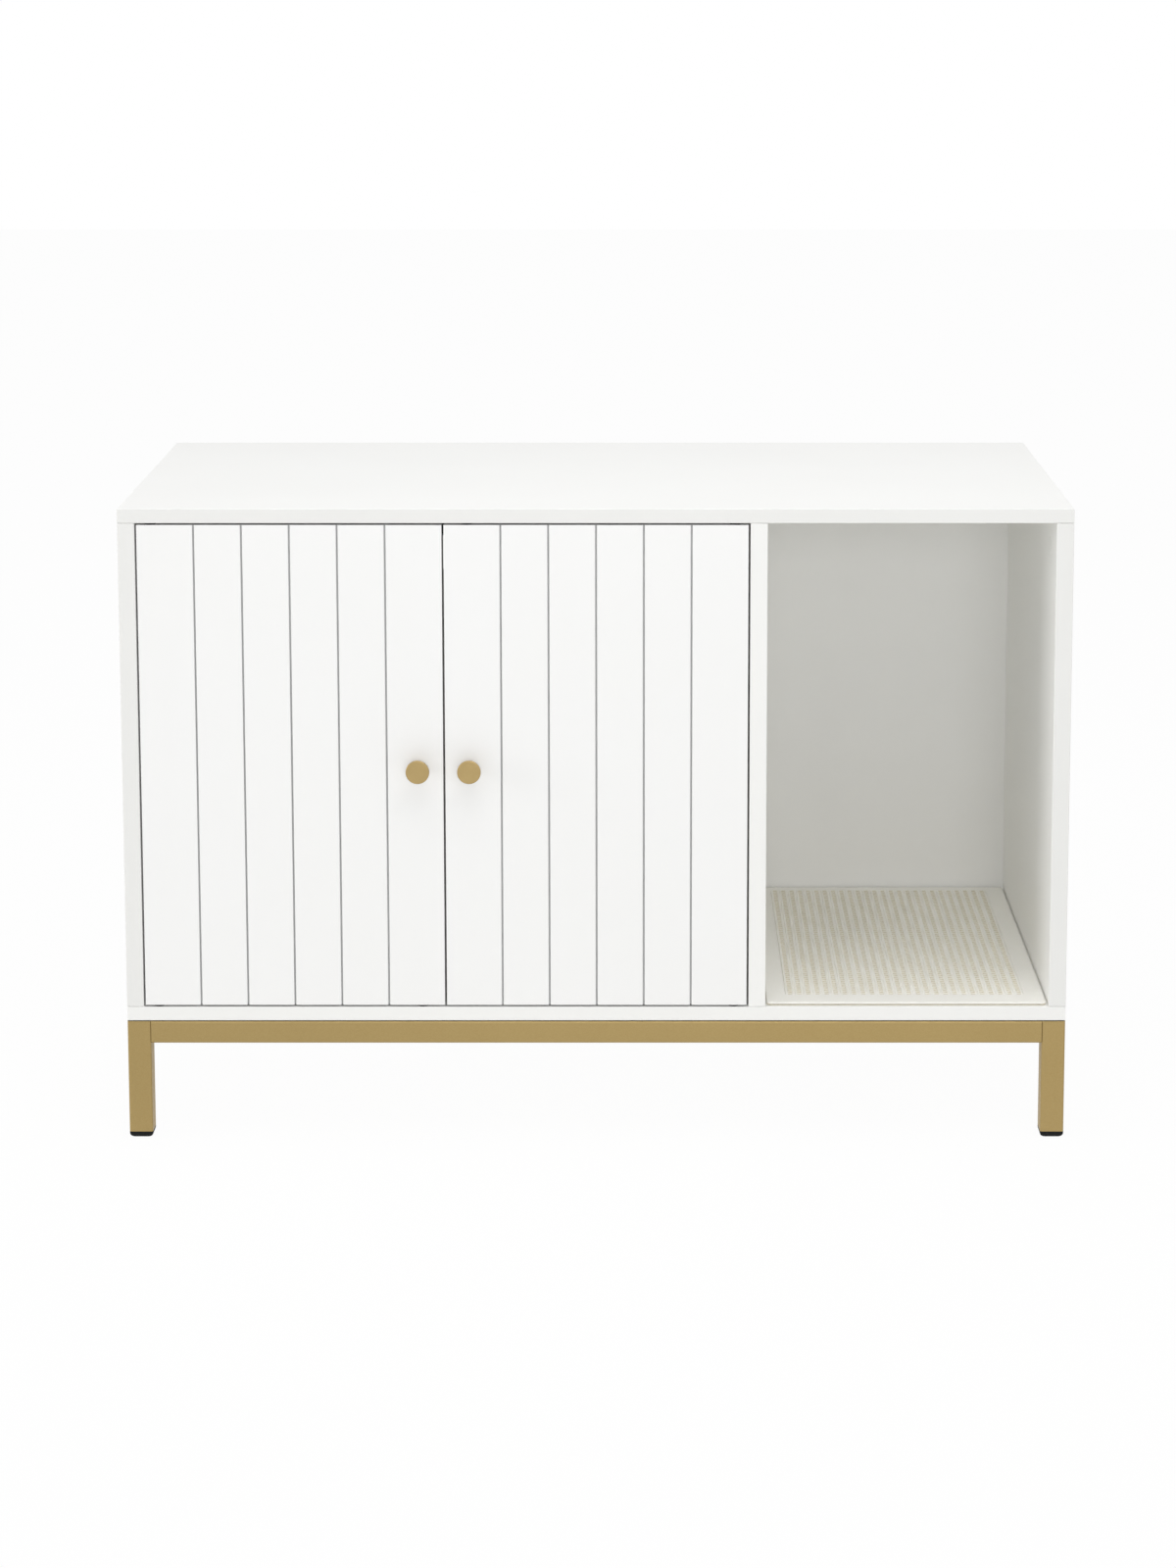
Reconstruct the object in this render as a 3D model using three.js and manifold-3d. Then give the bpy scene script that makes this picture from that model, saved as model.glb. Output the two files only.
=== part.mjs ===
// Cat litter box cabinet: a two-door litter compartment beside an open bay with a scratch mat,
// standing on a square-tube base. Millimetres, +Z up, +X to the right seen from the front,
// which faces -Y. The origin is on the floor, at the middle of the whole footprint, knobs included.

import * as THREE from 'three';
import { mergeVertices } from 'three/addons/utils/BufferGeometryUtils.js';
import Module from 'manifold-3d';

const wasm = await Module();
wasm.setup();

// ---- Driving dimensions -----------------------------------------------------------------

// Carcass boards
const CABINET_WIDTH = 1000;
const CABINET_DEPTH = 500;
const INNER_HEIGHT = 522; // clear height between the bottom and the top panel
const TOP_THICKNESS = 15;
const BOTTOM_THICKNESS = 15;
const UPRIGHT_THICKNESS = 18; // both side panels and the divider
const OPEN_BAY_WIDTH = 302; // clear width of the bay right of the divider
const EDGE_EASE = 0.8; // small chamfer along every board edge

// Back panels, slid into grooves
const BACK_THICKNESS = 3;
const BACK_SETBACK = 18; // from the carcass's rear edge to the back panels
const BACK_GROOVE_DEPTH = 5;
const VENT_COUNT = 9;
const VENT_PITCH = 22;
const VENT_WIDTH = 7;
const VENT_HEIGHT = 70;
const VENT_DROP = 100; // below the top panel, to the middle of the vents
const VENT_END_FLAT = 0.4; // left between the two round corners of a vent's end

// Cat door through the divider: straight sides, round top
const CAT_DOOR_WIDTH = 200;
const CAT_DOOR_HEIGHT = 240;
const CAT_DOOR_SILL = 70; // above the bottom panel
const CAT_DOOR_CORNER = 30;
const CAT_DOOR_CENTRE = 250; // behind the carcass's front edge

// Doors
const DOOR_THICKNESS = 15;
const DOOR_GAP = 2; // all round each door
const PLANK_PITCH = 50; // between the vee grooves
const PLANK_GROOVES = 5;
const PLANK_GROOVE_WIDTH = 3;
const PLANK_GROOVE_DEPTH = 2.2;

// Door pivots: a pin in the carcass turns in a flanged bush in the door's edge
const PIVOT_INSET = 14; // from the door's outer edge to its axis
const PIN_RADIUS = 2.5;
const PIN_IN_CARCASS = 10;
const PIN_IN_DOOR = 6;
const PIN_CHAMFER = 0.6;
const BUSH_RADIUS = 4.5;
const BUSH_DEPTH = 8;
const BUSH_FLANGE_RADIUS = 5.75;

// Magnet catches at the doors' free edges, one low and one high
const CATCH_INSET = 24; // from the door's free edge
const CATCH_RADIUS = 5;
const CATCH_DEPTH = 10;
const CATCH_FLANGE_RADIUS = 5.75;
const CATCH_FLANGE_HEIGHT = 1.2;
const STRIKE_THICKNESS = 1.5;

// Stop behind the meeting edges of the doors
const STOP_WIDTH = 56;
const STOP_DEPTH = 12;
const STOP_HEIGHT = 14;
const BUMPER_RADIUS = 4;
const BUMPER_THICKNESS = 1.6;
const BUMPER_SPREAD = 32; // between the two bumpers
const STOP_SCREW_LENGTH = 24;

// Knobs: a flat disc on a slim stem
const KNOB_INSET = 26; // from the door's free edge
const KNOB_RADIUS = 12.4;
const KNOB_HEAD_THICKNESS = 3.5;
const KNOB_PROJECTION = 24;
const KNOB_STEM_RADIUS = 4.5;
const KNOB_BASE_RADIUS = 6.5;
const KNOB_BASE_THICKNESS = 1.6;
const KNOB_EDGE = 0.5;
const KNOB_THREAD_DEPTH = 10;

// Scratch mat
const MAT_WIDTH_GAP = 2; // to the upright on each side
const MAT_FRONT_SETBACK = 5;
const MAT_BACK_GAP = 4;
const MAT_BASE_THICKNESS = 2;
const MAT_HEM_THICKNESS = 3.2;
const MAT_HEM_WIDTH = 21;
const MAT_CORNER = 5;
const MAT_RIB_PITCH = 9.5;
const MAT_RIB_WIDTH = 6;
const MAT_RIB_CREST = 3.6; // width of a rib's flat top
const MAT_RIB_THICKNESS = 3.8;

// Base frame of square tube
const BASE_HEIGHT = 130; // floor to the underside of the carcass
const TUBE_SIZE = 25;
const TUBE_WALL = 1.5;
const TUBE_CORNER = 2;
const TUBE_LEAST_CORNER = 0.3; // inside the tube, where the wall is as thick as the corner
const FRAME_SCREW_INSET = 120; // from the cabinet's sides, along the front and rear rails

// Plastic foot caps
const FOOT_HEIGHT = 7;
const FOOT_ROUNDING = 4.5;
const FOOT_PLUG_DEPTH = 15;
const FOOT_PLUG_CORE = 14;
const FOOT_RIB_THICKNESS = 1.4;
const FOOT_RIB_COUNT = 3;

// Fasteners
const KNOB_SCREW_RADIUS = 2;
const KNOB_SCREW_HEAD_RADIUS = 4;
const KNOB_SCREW_HEAD_HEIGHT = 2.4;
const KNOB_SCREW_IN_KNOB = 8;
const WOOD_SCREW_RADIUS = 2;
const WOOD_SCREW_HEAD_RADIUS = 4;
const WOOD_SCREW_HEAD_HEIGHT = 2.2;
const PAN_HEAD_FLAT = 0.7; // a pan head's flat top, as a share of its width
const FRAME_SCREW_GRIP = 11; // length in the bottom panel
const JOINT_INSET = 60; // carcass screws and cams, from the front and rear edges
const CARCASS_SCREW_RADIUS = 3;
const CARCASS_SCREW_LENGTH = 50;
const CARCASS_SCREW_HEAD_RADIUS = 5;
const CARCASS_SCREW_HEAD_HEIGHT = 4;
const CAM_RADIUS = 7.5;
const CAM_DEPTH = 12.5;
const CAM_DROP = 34; // below the upright's top end
const CAM_SLOT_WIDTH = 1.6; // cross for the screwdriver
const CAM_SLOT_LENGTH = 9;
const CAM_SLOT_DEPTH = 1.5;
const CAM_BOLT_RADIUS = 3;
const CAM_BOLT_IN_TOP = 11;
const DOWEL_RADIUS = 4;
const DOWEL_LENGTH = 30;
const DOWEL_IN_TOP = 11;
const DOWEL_STEP = 32; // from the cam to its dowel

// Clearances and facets
const FIT_GAP = 0.3; // between a piece and the bore or slot that it sits in
const BEYOND = 4; // how far a cutter runs past the face that it opens
const MERGE_DISTANCE = 1e-4; // corners closer than this are one
const BORE_SIDES = 12;
const KNOB_SIDES = 32;
const CORNER_STEPS = 3;
const CAT_DOOR_STEPS = 8;
const FOOT_ROUNDING_STEPS = 4;

// ---- Places worked out from the driving dimensions --------------------------------------

// Carcass frame: X from the middle, Y from the front edge to the rear, Z from the underside.
const FLOOR_Z = BOTTOM_THICKNESS;
const CEILING_Z = FLOOR_Z + INNER_HEIGHT;
const CARCASS_TOP_Z = CEILING_Z + TOP_THICKNESS;
const LEFT_X = -CABINET_WIDTH / 2;
const LEFT_INNER_X = LEFT_X + UPRIGHT_THICKNESS;
const RIGHT_X = CABINET_WIDTH / 2;
const RIGHT_INNER_X = RIGHT_X - UPRIGHT_THICKNESS;
const DIVIDER_RIGHT_X = RIGHT_INNER_X - OPEN_BAY_WIDTH;
const DIVIDER_LEFT_X = DIVIDER_RIGHT_X - UPRIGHT_THICKNESS;

const BACK_Y = CABINET_DEPTH - BACK_SETBACK - BACK_THICKNESS; // front face of the back panels
const BACK_GROOVE_Y = [BACK_Y - FIT_GAP, BACK_Y + BACK_THICKNESS + FIT_GAP];

const DOOR_WIDTH = (DIVIDER_LEFT_X - LEFT_INNER_X - 3 * DOOR_GAP) / 2;
const DOOR_HEIGHT = INNER_HEIGHT - 2 * DOOR_GAP;
const DOORS_MEET_X = (LEFT_INNER_X + DIVIDER_LEFT_X) / 2;
const PIVOT_Y = DOOR_THICKNESS / 2;

const DOORS = [
  { side: 'left', reach: 1, pivotX: LEFT_INNER_X + DOOR_GAP + PIVOT_INSET, catchAt: 'bottom' },
  { side: 'right', reach: -1, pivotX: DIVIDER_LEFT_X - DOOR_GAP - PIVOT_INSET, catchAt: 'top' },
];
// Measured from a door's axis towards its free edge
const FREE_EDGE = DOOR_WIDTH - PIVOT_INSET;
const KNOB_REACH = FREE_EDGE - KNOB_INSET;
const CATCH_REACH = FREE_EDGE - CATCH_INSET;

// The three uprights; `face` is the side that the cams are set into.
const UPRIGHTS = [
  { tag: 'left', x: [LEFT_X, LEFT_INNER_X], face: 1, grooved: [1] },
  { tag: 'divider', x: [DIVIDER_LEFT_X, DIVIDER_RIGHT_X], face: -1, grooved: [-1, 1] },
  { tag: 'right', x: [RIGHT_INNER_X, RIGHT_X], face: -1, grooved: [-1] },
];
const JOINTS = [
  { tag: 'front', y: JOINT_INSET },
  { tag: 'rear', y: CABINET_DEPTH - JOINT_INSET },
];
const JOINT_YS = JOINTS.map((joint) => joint.y);
const DOWEL_YS = [JOINT_INSET + DOWEL_STEP, CABINET_DEPTH - JOINT_INSET - DOWEL_STEP];
const CAM_Z = CEILING_Z - CAM_DROP;

const STOP_Y = DOOR_THICKNESS + FIT_GAP + BUMPER_THICKNESS; // front face of the stop block
const STOP_SCREW_AT = { x: DOORS_MEET_X, y: STOP_Y + STOP_DEPTH / 2 };

// The knobs stand proud of the front, so the carcass sits back by half their projection.
const FRONT_Y = -(CABINET_DEPTH - KNOB_PROJECTION) / 2;

const TUBE_INNER = TUBE_SIZE - 2 * TUBE_WALL;
const FRAME_TOP_Z = BASE_HEIGHT;
const RAIL_Z = FRAME_TOP_Z - TUBE_SIZE / 2;
const RAIL_YS = [TUBE_SIZE / 2, CABINET_DEPTH - TUBE_SIZE / 2];
const LEG_X = CABINET_WIDTH / 2 - TUBE_SIZE / 2;
const CORNERS = [
  { tag: 'front_left', x: -LEG_X, y: RAIL_YS[0] },
  { tag: 'front_right', x: LEG_X, y: RAIL_YS[0] },
  { tag: 'rear_left', x: -LEG_X, y: RAIL_YS[1] },
  { tag: 'rear_right', x: LEG_X, y: RAIL_YS[1] },
];
const FRAME_SCREW_XS = [FRAME_SCREW_INSET - CABINET_WIDTH / 2, CABINET_WIDTH / 2 - FRAME_SCREW_INSET];
// One screw near each corner, through the long rail there
const FRAME_SCREWS = CORNERS.map((corner) => ({
  ...corner,
  x: corner.x < 0 ? FRAME_SCREW_XS[0] : FRAME_SCREW_XS[1],
}));

// ---- Finishes ---------------------------------------------------------------------------

const whiteBoard = { color: 0xf3f3f1, roughness: 0.5, metalness: 0 };
const goldPaint = { color: 0xb09b6a, roughness: 0.42, metalness: 0.6 };
const blackPlastic = { color: 0x232322, roughness: 0.6, metalness: 0 };
const blackRubber = { color: 0x1c1c1c, roughness: 0.85, metalness: 0 };
const zincSteel = { color: 0xb9bcc0, roughness: 0.35, metalness: 1 };
const wovenMat = { color: 0xddd9ca, roughness: 0.95, metalness: 0 };

// ---- Geometry helpers -------------------------------------------------------------------

// Cyclic turns that lay a shape drawn in local XY, with its thickness along local Z, so that
// the thickness runs along the named axis.
const AXIS_X = new THREE.Vector3(1, 0, 0);
const AXIS_Y = new THREE.Vector3(0, 1, 0);
const AXIS_Z = new THREE.Vector3(0, 0, 1);
const TURN_TO = {
  x: new THREE.Matrix4().makeBasis(AXIS_Y, AXIS_Z, AXIS_X),
  y: new THREE.Matrix4().makeBasis(AXIS_Z, AXIS_X, AXIS_Y),
  z: new THREE.Matrix4(),
};

function solidFrom(geometry) {
  const bare = geometry.clone();
  bare.deleteAttribute('normal');
  bare.deleteAttribute('uv');
  const merged = mergeVertices(bare, MERGE_DISTANCE);
  const corners = merged.index.array;
  const triVerts = [];
  for (let i = 0; i < corners.length; i += 3) {
    const [a, b, c] = [corners[i], corners[i + 1], corners[i + 2]];
    // A lathe's pole gives triangles with no area.
    if (a !== b && b !== c && c !== a) triVerts.push(a, b, c);
  }
  const vertProperties = merged.attributes.position.array;
  return new wasm.Manifold(
    new wasm.Mesh({ numProp: 3, vertProperties, triVerts: new Uint32Array(triVerts) }),
  );
}

function geometryFrom(solid) {
  const { vertProperties, triVerts } = solid.getMesh();
  const geometry = new THREE.BufferGeometry();
  geometry.setAttribute('position', new THREE.BufferAttribute(vertProperties, 3));
  geometry.setIndex(new THREE.BufferAttribute(triVerts, 1));
  const flat = geometry.toNonIndexed();
  flat.computeVertexNormals();
  return flat;
}

function join(geometries) {
  return geometryFrom(geometries.map(solidFrom).reduce((whole, next) => whole.add(next)));
}

function cut(geometry, cutters) {
  return geometryFrom(
    cutters.map(solidFrom).reduce((left, cutter) => left.subtract(cutter), solidFrom(geometry)),
  );
}

function common(first, second) {
  return geometryFrom(solidFrom(first).intersect(solidFrom(second)));
}

// A square-edged block that fills the given spans.
function block(x, y, z) {
  const geometry = new THREE.BoxGeometry(x[1] - x[0], y[1] - y[0], z[1] - z[0]);
  return geometry.translate((x[0] + x[1]) / 2, (y[0] + y[1]) / 2, (z[0] + z[1]) / 2);
}

// A board that fills the given spans, with its thickness along `thin` and its edges eased.
function board(x, y, z, thin) {
  const [u, v, w] = { x: [y, z, x], y: [z, x, y], z: [x, y, z] }[thin];
  const outline = new THREE.Shape();
  outline.moveTo(u[0], v[0]);
  outline.lineTo(u[1], v[0]);
  outline.lineTo(u[1], v[1]);
  outline.lineTo(u[0], v[1]);
  const geometry = new THREE.ExtrudeGeometry(outline, {
    depth: w[1] - w[0] - 2 * EDGE_EASE,
    bevelThickness: EDGE_EASE,
    bevelSize: EDGE_EASE,
    bevelOffset: -EDGE_EASE,
    bevelSegments: 1,
  });
  geometry.translate(0, 0, w[0] + EDGE_EASE);
  return geometry.applyMatrix4(TURN_TO[thin]);
}

// A round bar along `axis` from `start` to `end`; `at` gives its other two coordinates.
function rod(axis, at, start, end, radius) {
  const geometry = new THREE.CylinderGeometry(radius, radius, end - start, BORE_SIDES);
  geometry.rotateX(Math.PI / 2);
  geometry.translate(0, 0, (start + end) / 2);
  geometry.applyMatrix4(TURN_TO[axis]);
  return geometry.translate(at.x ?? 0, at.y ?? 0, at.z ?? 0);
}

// A turned piece about +Z from [radius, height] pairs listed from the bottom up on the outside.
function turned(profile, sides = BORE_SIDES) {
  const points = profile.map(([radius, height]) => new THREE.Vector2(radius, height));
  return new THREE.LatheGeometry(points, sides).rotateX(Math.PI / 2);
}

function roundedRectangle(path, x, y, radius) {
  path.moveTo(x[0] + radius, y[0]);
  path.absarc(x[1] - radius, y[0] + radius, radius, -Math.PI / 2, 0);
  path.absarc(x[1] - radius, y[1] - radius, radius, 0, Math.PI / 2);
  path.absarc(x[0] + radius, y[1] - radius, radius, Math.PI / 2, Math.PI);
  path.absarc(x[0] + radius, y[0] + radius, radius, Math.PI, 1.5 * Math.PI);
  return path;
}

// A plate of the given outline from z0 to z1.
function plate(outline, z0, z1, curveSegments = CORNER_STEPS) {
  const geometry = new THREE.ExtrudeGeometry(outline, {
    depth: z1 - z0,
    bevelEnabled: false,
    curveSegments,
  });
  return geometry.translate(0, 0, z0);
}

function addPart(parent, name, geometry, finish, x = 0, y = 0, z = 0) {
  const part = new THREE.Mesh(geometry, new THREE.MeshStandardMaterial(finish));
  part.name = name;
  part.position.set(x, y, z);
  parent.add(part);
  return part;
}

// ---- Carcass boards, in the carcass frame -----------------------------------------------

function middleOf(span) {
  return (span[0] + span[1]) / 2;
}

// Where an upright's bore that is `depth` deep lies, seen from its cam face.
function spanFromFace(upright, depth) {
  return upright.face > 0
    ? [upright.x[1] - depth, upright.x[1] + BEYOND]
    : [upright.x[0] - BEYOND, upright.x[0] + depth];
}

function uprightBores(upright) {
  const x = middleOf(upright.x);
  const camSpan = spanFromFace(upright, CAM_DEPTH);
  return JOINT_YS.flatMap((y) => [
    rod('z', { x, y }, FLOOR_Z - BEYOND, CARCASS_SCREW_LENGTH + FIT_GAP, CARCASS_SCREW_RADIUS + FIT_GAP),
    rod('z', { x, y }, CAM_Z, CEILING_Z + BEYOND, CAM_BOLT_RADIUS + FIT_GAP),
    rod('x', { y, z: CAM_Z }, ...camSpan, CAM_RADIUS + FIT_GAP),
  ]);
}

// Dowels glued into the upright's top end.
function uprightDowels(upright) {
  const bottom = CEILING_Z + DOWEL_IN_TOP - DOWEL_LENGTH;
  const top = CEILING_Z + DOWEL_IN_TOP;
  const dowel = turned([
    [0, bottom],
    [DOWEL_RADIUS, bottom],
    [DOWEL_RADIUS, top - EDGE_EASE],
    [DOWEL_RADIUS - EDGE_EASE, top],
    [0, top],
  ]);
  return DOWEL_YS.map((y) => dowel.clone().translate(middleOf(upright.x), y, 0));
}

function uprightGrooves(upright) {
  return upright.grooved.map((face) => {
    const edge = face > 0 ? upright.x[1] : upright.x[0];
    const bottom = edge - face * BACK_GROOVE_DEPTH;
    const mouth = edge + face * BEYOND;
    const z = [FLOOR_Z - BEYOND, CEILING_Z + BEYOND];
    return block([Math.min(bottom, mouth), Math.max(bottom, mouth)], BACK_GROOVE_Y, z);
  });
}

// The cat door's outline is drawn in YZ and cut along X.
function catDoorCutter() {
  const y = [CAT_DOOR_CENTRE - CAT_DOOR_WIDTH / 2, CAT_DOOR_CENTRE + CAT_DOOR_WIDTH / 2];
  const sill = FLOOR_Z + CAT_DOOR_SILL;
  const spring = sill + CAT_DOOR_HEIGHT - CAT_DOOR_WIDTH / 2;
  const outline = new THREE.Shape();
  outline.moveTo(y[0] + CAT_DOOR_CORNER, sill);
  outline.absarc(y[1] - CAT_DOOR_CORNER, sill + CAT_DOOR_CORNER, CAT_DOOR_CORNER, -Math.PI / 2, 0);
  outline.absarc(CAT_DOOR_CENTRE, spring, CAT_DOOR_WIDTH / 2, 0, Math.PI);
  outline.absarc(
    y[0] + CAT_DOOR_CORNER,
    sill + CAT_DOOR_CORNER,
    CAT_DOOR_CORNER,
    Math.PI,
    1.5 * Math.PI,
  );
  const x = [DIVIDER_LEFT_X - BEYOND, DIVIDER_RIGHT_X + BEYOND];
  return plate(outline, ...x, CAT_DOOR_STEPS).applyMatrix4(TURN_TO.x);
}

function uprightGeometry(upright) {
  const blank = board(upright.x, [0, CABINET_DEPTH], [FLOOR_Z, CEILING_Z], 'x');
  const openings = upright.tag === 'divider' ? [catDoorCutter()] : [];
  const panel = cut(blank, [...uprightBores(upright), ...uprightGrooves(upright), ...openings]);
  return join([panel, ...uprightDowels(upright)]);
}

// The groove for the back panels in the top or bottom panel, stopped short of its ends.
function backGroove(z) {
  const x = [LEFT_INNER_X - BACK_GROOVE_DEPTH, RIGHT_INNER_X + BACK_GROOVE_DEPTH];
  return block(x, BACK_GROOVE_Y, z);
}

function bottomPanelGeometry() {
  const blank = board([LEFT_X, RIGHT_X], [0, CABINET_DEPTH], [0, FLOOR_Z], 'z');
  const headRadius = CARCASS_SCREW_HEAD_RADIUS + FIT_GAP;
  const screwHoles = UPRIGHTS.flatMap((upright) =>
    JOINT_YS.flatMap((y) => {
      const at = { x: middleOf(upright.x), y };
      return [
        rod('z', at, -BEYOND, FLOOR_Z + BEYOND, CARCASS_SCREW_RADIUS + FIT_GAP),
        rod('z', at, -BEYOND, CARCASS_SCREW_HEAD_HEIGHT + 2 * FIT_GAP, headRadius),
      ];
    }),
  );
  const frameHoles = FRAME_SCREWS.map((at) =>
    rod('z', at, -BEYOND, FRAME_SCREW_GRIP + FIT_GAP, WOOD_SCREW_RADIUS + FIT_GAP),
  );
  const pinHoles = DOORS.map((door) => {
    const bottom = FLOOR_Z - PIN_IN_CARCASS - FIT_GAP;
    return rod('z', pivotAt(door), bottom, FLOOR_Z + BEYOND, PIN_RADIUS + FIT_GAP);
  });
  const catchHoles = DOORS.filter((door) => door.catchAt === 'bottom').map((door) => {
    const bottom = FLOOR_Z - CATCH_DEPTH - FIT_GAP;
    return rod('z', catchPlace(door), bottom, FLOOR_Z + BEYOND, CATCH_RADIUS + FIT_GAP);
  });
  const groove = backGroove([FLOOR_Z - BACK_GROOVE_DEPTH, FLOOR_Z + BEYOND]);
  return cut(blank, [...screwHoles, ...frameHoles, ...pinHoles, ...catchHoles, groove]);
}

function topPanelGeometry() {
  const blank = board([LEFT_X, RIGHT_X], [0, CABINET_DEPTH], [CEILING_Z, CARCASS_TOP_Z], 'z');
  const below = CEILING_Z - BEYOND;
  const boltTop = CEILING_Z + CAM_BOLT_IN_TOP + FIT_GAP;
  const dowelTop = CEILING_Z + DOWEL_IN_TOP + FIT_GAP;
  const jointHoles = UPRIGHTS.map((upright) => middleOf(upright.x)).flatMap((x) => [
    ...JOINT_YS.map((y) => rod('z', { x, y }, below, boltTop, CAM_BOLT_RADIUS + FIT_GAP)),
    ...DOWEL_YS.map((y) => rod('z', { x, y }, below, dowelTop, DOWEL_RADIUS + FIT_GAP)),
  ]);
  const pinTop = CEILING_Z + PIN_IN_CARCASS + FIT_GAP;
  const pinHoles = DOORS.map((door) => rod('z', pivotAt(door), below, pinTop, PIN_RADIUS + FIT_GAP));
  const catchTop = CEILING_Z + CATCH_DEPTH + FIT_GAP;
  const catchHoles = DOORS.filter((door) => door.catchAt === 'top').map((door) =>
    rod('z', catchPlace(door), below, catchTop, CATCH_RADIUS + FIT_GAP),
  );
  const stopScrewTop = CEILING_Z - STOP_HEIGHT + STOP_SCREW_LENGTH + FIT_GAP;
  const stopHole = rod('z', STOP_SCREW_AT, below, stopScrewTop, WOOD_SCREW_RADIUS + FIT_GAP);
  const groove = backGroove([below, CEILING_Z + BACK_GROOVE_DEPTH]);
  return cut(blank, [...jointHoles, ...pinHoles, ...catchHoles, stopHole, groove]);
}

// A back panel reaches into the grooves on all four sides.
function backPanelGeometry(x, ventMiddle) {
  const reach = BACK_GROOVE_DEPTH - FIT_GAP;
  const y = [BACK_Y, BACK_Y + BACK_THICKNESS];
  const sheet = block([x[0] - reach, x[1] + reach], y, [FLOOR_Z - reach, CEILING_Z + reach]);
  if (ventMiddle === undefined) return sheet;
  const z = CEILING_Z - VENT_DROP;
  const vents = [];
  for (let i = 0; i < VENT_COUNT; i += 1) {
    const middle = ventMiddle + (i - (VENT_COUNT - 1) / 2) * VENT_PITCH;
    // Drawn in ZX, because the cut runs along Y
    const slot = roundedRectangle(
      new THREE.Shape(),
      [z - VENT_HEIGHT / 2, z + VENT_HEIGHT / 2],
      [middle - VENT_WIDTH / 2, middle + VENT_WIDTH / 2],
      (VENT_WIDTH - VENT_END_FLAT) / 2,
    );
    const cutter = plate(slot, y[0] - BEYOND, y[1] + BEYOND);
    vents.push(cutter.applyMatrix4(TURN_TO.y));
  }
  return cut(sheet, vents);
}

// ---- Joinery of the carcass -------------------------------------------------------------

function carcassScrewGeometry() {
  const headTop = CARCASS_SCREW_HEAD_HEIGHT + FIT_GAP;
  return turned([
    [0, FIT_GAP],
    [CARCASS_SCREW_HEAD_RADIUS, FIT_GAP],
    [CARCASS_SCREW_HEAD_RADIUS, headTop],
    [CARCASS_SCREW_RADIUS, headTop],
    [CARCASS_SCREW_RADIUS, CARCASS_SCREW_LENGTH - CARCASS_SCREW_RADIUS],
    [0, CARCASS_SCREW_LENGTH],
  ]);
}

// A cam set flush in the upright's face, with the bolt that it holds: the bolt runs up the
// middle of the upright into the top panel.
function camFittingGeometry(upright, y) {
  const bore = spanFromFace(upright, CAM_DEPTH);
  const face = upright.face > 0 ? upright.x[1] : upright.x[0];
  const disc = upright.face > 0 ? [bore[0] + FIT_GAP, face] : [face, bore[1] - FIT_GAP];
  const cam = rod('x', { y, z: CAM_Z }, ...disc, CAM_RADIUS);
  const slotX = [face - CAM_SLOT_DEPTH, face + CAM_SLOT_DEPTH];
  const across = (middle, size) => [middle - size / 2, middle + size / 2];
  const slots = [
    block(slotX, across(y, CAM_SLOT_LENGTH), across(CAM_Z, CAM_SLOT_WIDTH)),
    block(slotX, across(y, CAM_SLOT_WIDTH), across(CAM_Z, CAM_SLOT_LENGTH)),
  ];
  const bolt = rod('z', { x: middleOf(upright.x), y }, CAM_Z, CEILING_Z + CAM_BOLT_IN_TOP, CAM_BOLT_RADIUS);
  return join([cut(cam, slots), bolt]);
}

// ---- Door hardware fixed in the carcass -------------------------------------------------

function pivotAt(door) {
  return { x: door.pivotX, y: PIVOT_Y };
}

function catchPlace(door) {
  return { x: door.pivotX + door.reach * CATCH_REACH, y: PIVOT_Y };
}

// The pin, from the end in the carcass up to its end in the door.
function pivotPinGeometry() {
  const top = DOOR_GAP + PIN_IN_DOOR;
  return turned([
    [0, -PIN_IN_CARCASS],
    [PIN_RADIUS, -PIN_IN_CARCASS],
    [PIN_RADIUS, top - PIN_CHAMFER],
    [PIN_RADIUS - PIN_CHAMFER, top],
    [0, top],
  ]);
}

// A flanged magnet, its body in the board and its flange in the gap.
function catchMagnetGeometry() {
  return turned([
    [0, -CATCH_DEPTH],
    [CATCH_RADIUS, -CATCH_DEPTH],
    [CATCH_RADIUS, 0],
    [CATCH_FLANGE_RADIUS, 0],
    [CATCH_FLANGE_RADIUS, CATCH_FLANGE_HEIGHT],
    [0, CATCH_FLANGE_HEIGHT],
  ]);
}

function doorStopGeometry() {
  const x = [DOORS_MEET_X - STOP_WIDTH / 2, DOORS_MEET_X + STOP_WIDTH / 2];
  const z = [CEILING_Z - STOP_HEIGHT, CEILING_Z];
  const blank = board(x, [STOP_Y, STOP_Y + STOP_DEPTH], z, 'y');
  const hole = rod('z', STOP_SCREW_AT, z[0] - BEYOND, z[1] + BEYOND, WOOD_SCREW_RADIUS + FIT_GAP);
  return cut(blank, [hole]);
}

function bumperGeometry() {
  return rod('y', {}, -BUMPER_THICKNESS, 0, BUMPER_RADIUS);
}

// A pan-headed wood screw that points up; z = 0 is under its head.
function woodScrewGeometry(length) {
  return turned([
    [0, -WOOD_SCREW_HEAD_HEIGHT],
    [WOOD_SCREW_HEAD_RADIUS * PAN_HEAD_FLAT, -WOOD_SCREW_HEAD_HEIGHT],
    [WOOD_SCREW_HEAD_RADIUS, -WOOD_SCREW_HEAD_HEIGHT / 2],
    [WOOD_SCREW_HEAD_RADIUS, 0],
    [WOOD_SCREW_RADIUS, 0],
    [WOOD_SCREW_RADIUS, length - WOOD_SCREW_RADIUS],
    [0, length],
  ]);
}

// ---- Doors, each in its own frame: Z along the pivot axis from the door's bottom edge ----

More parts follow.
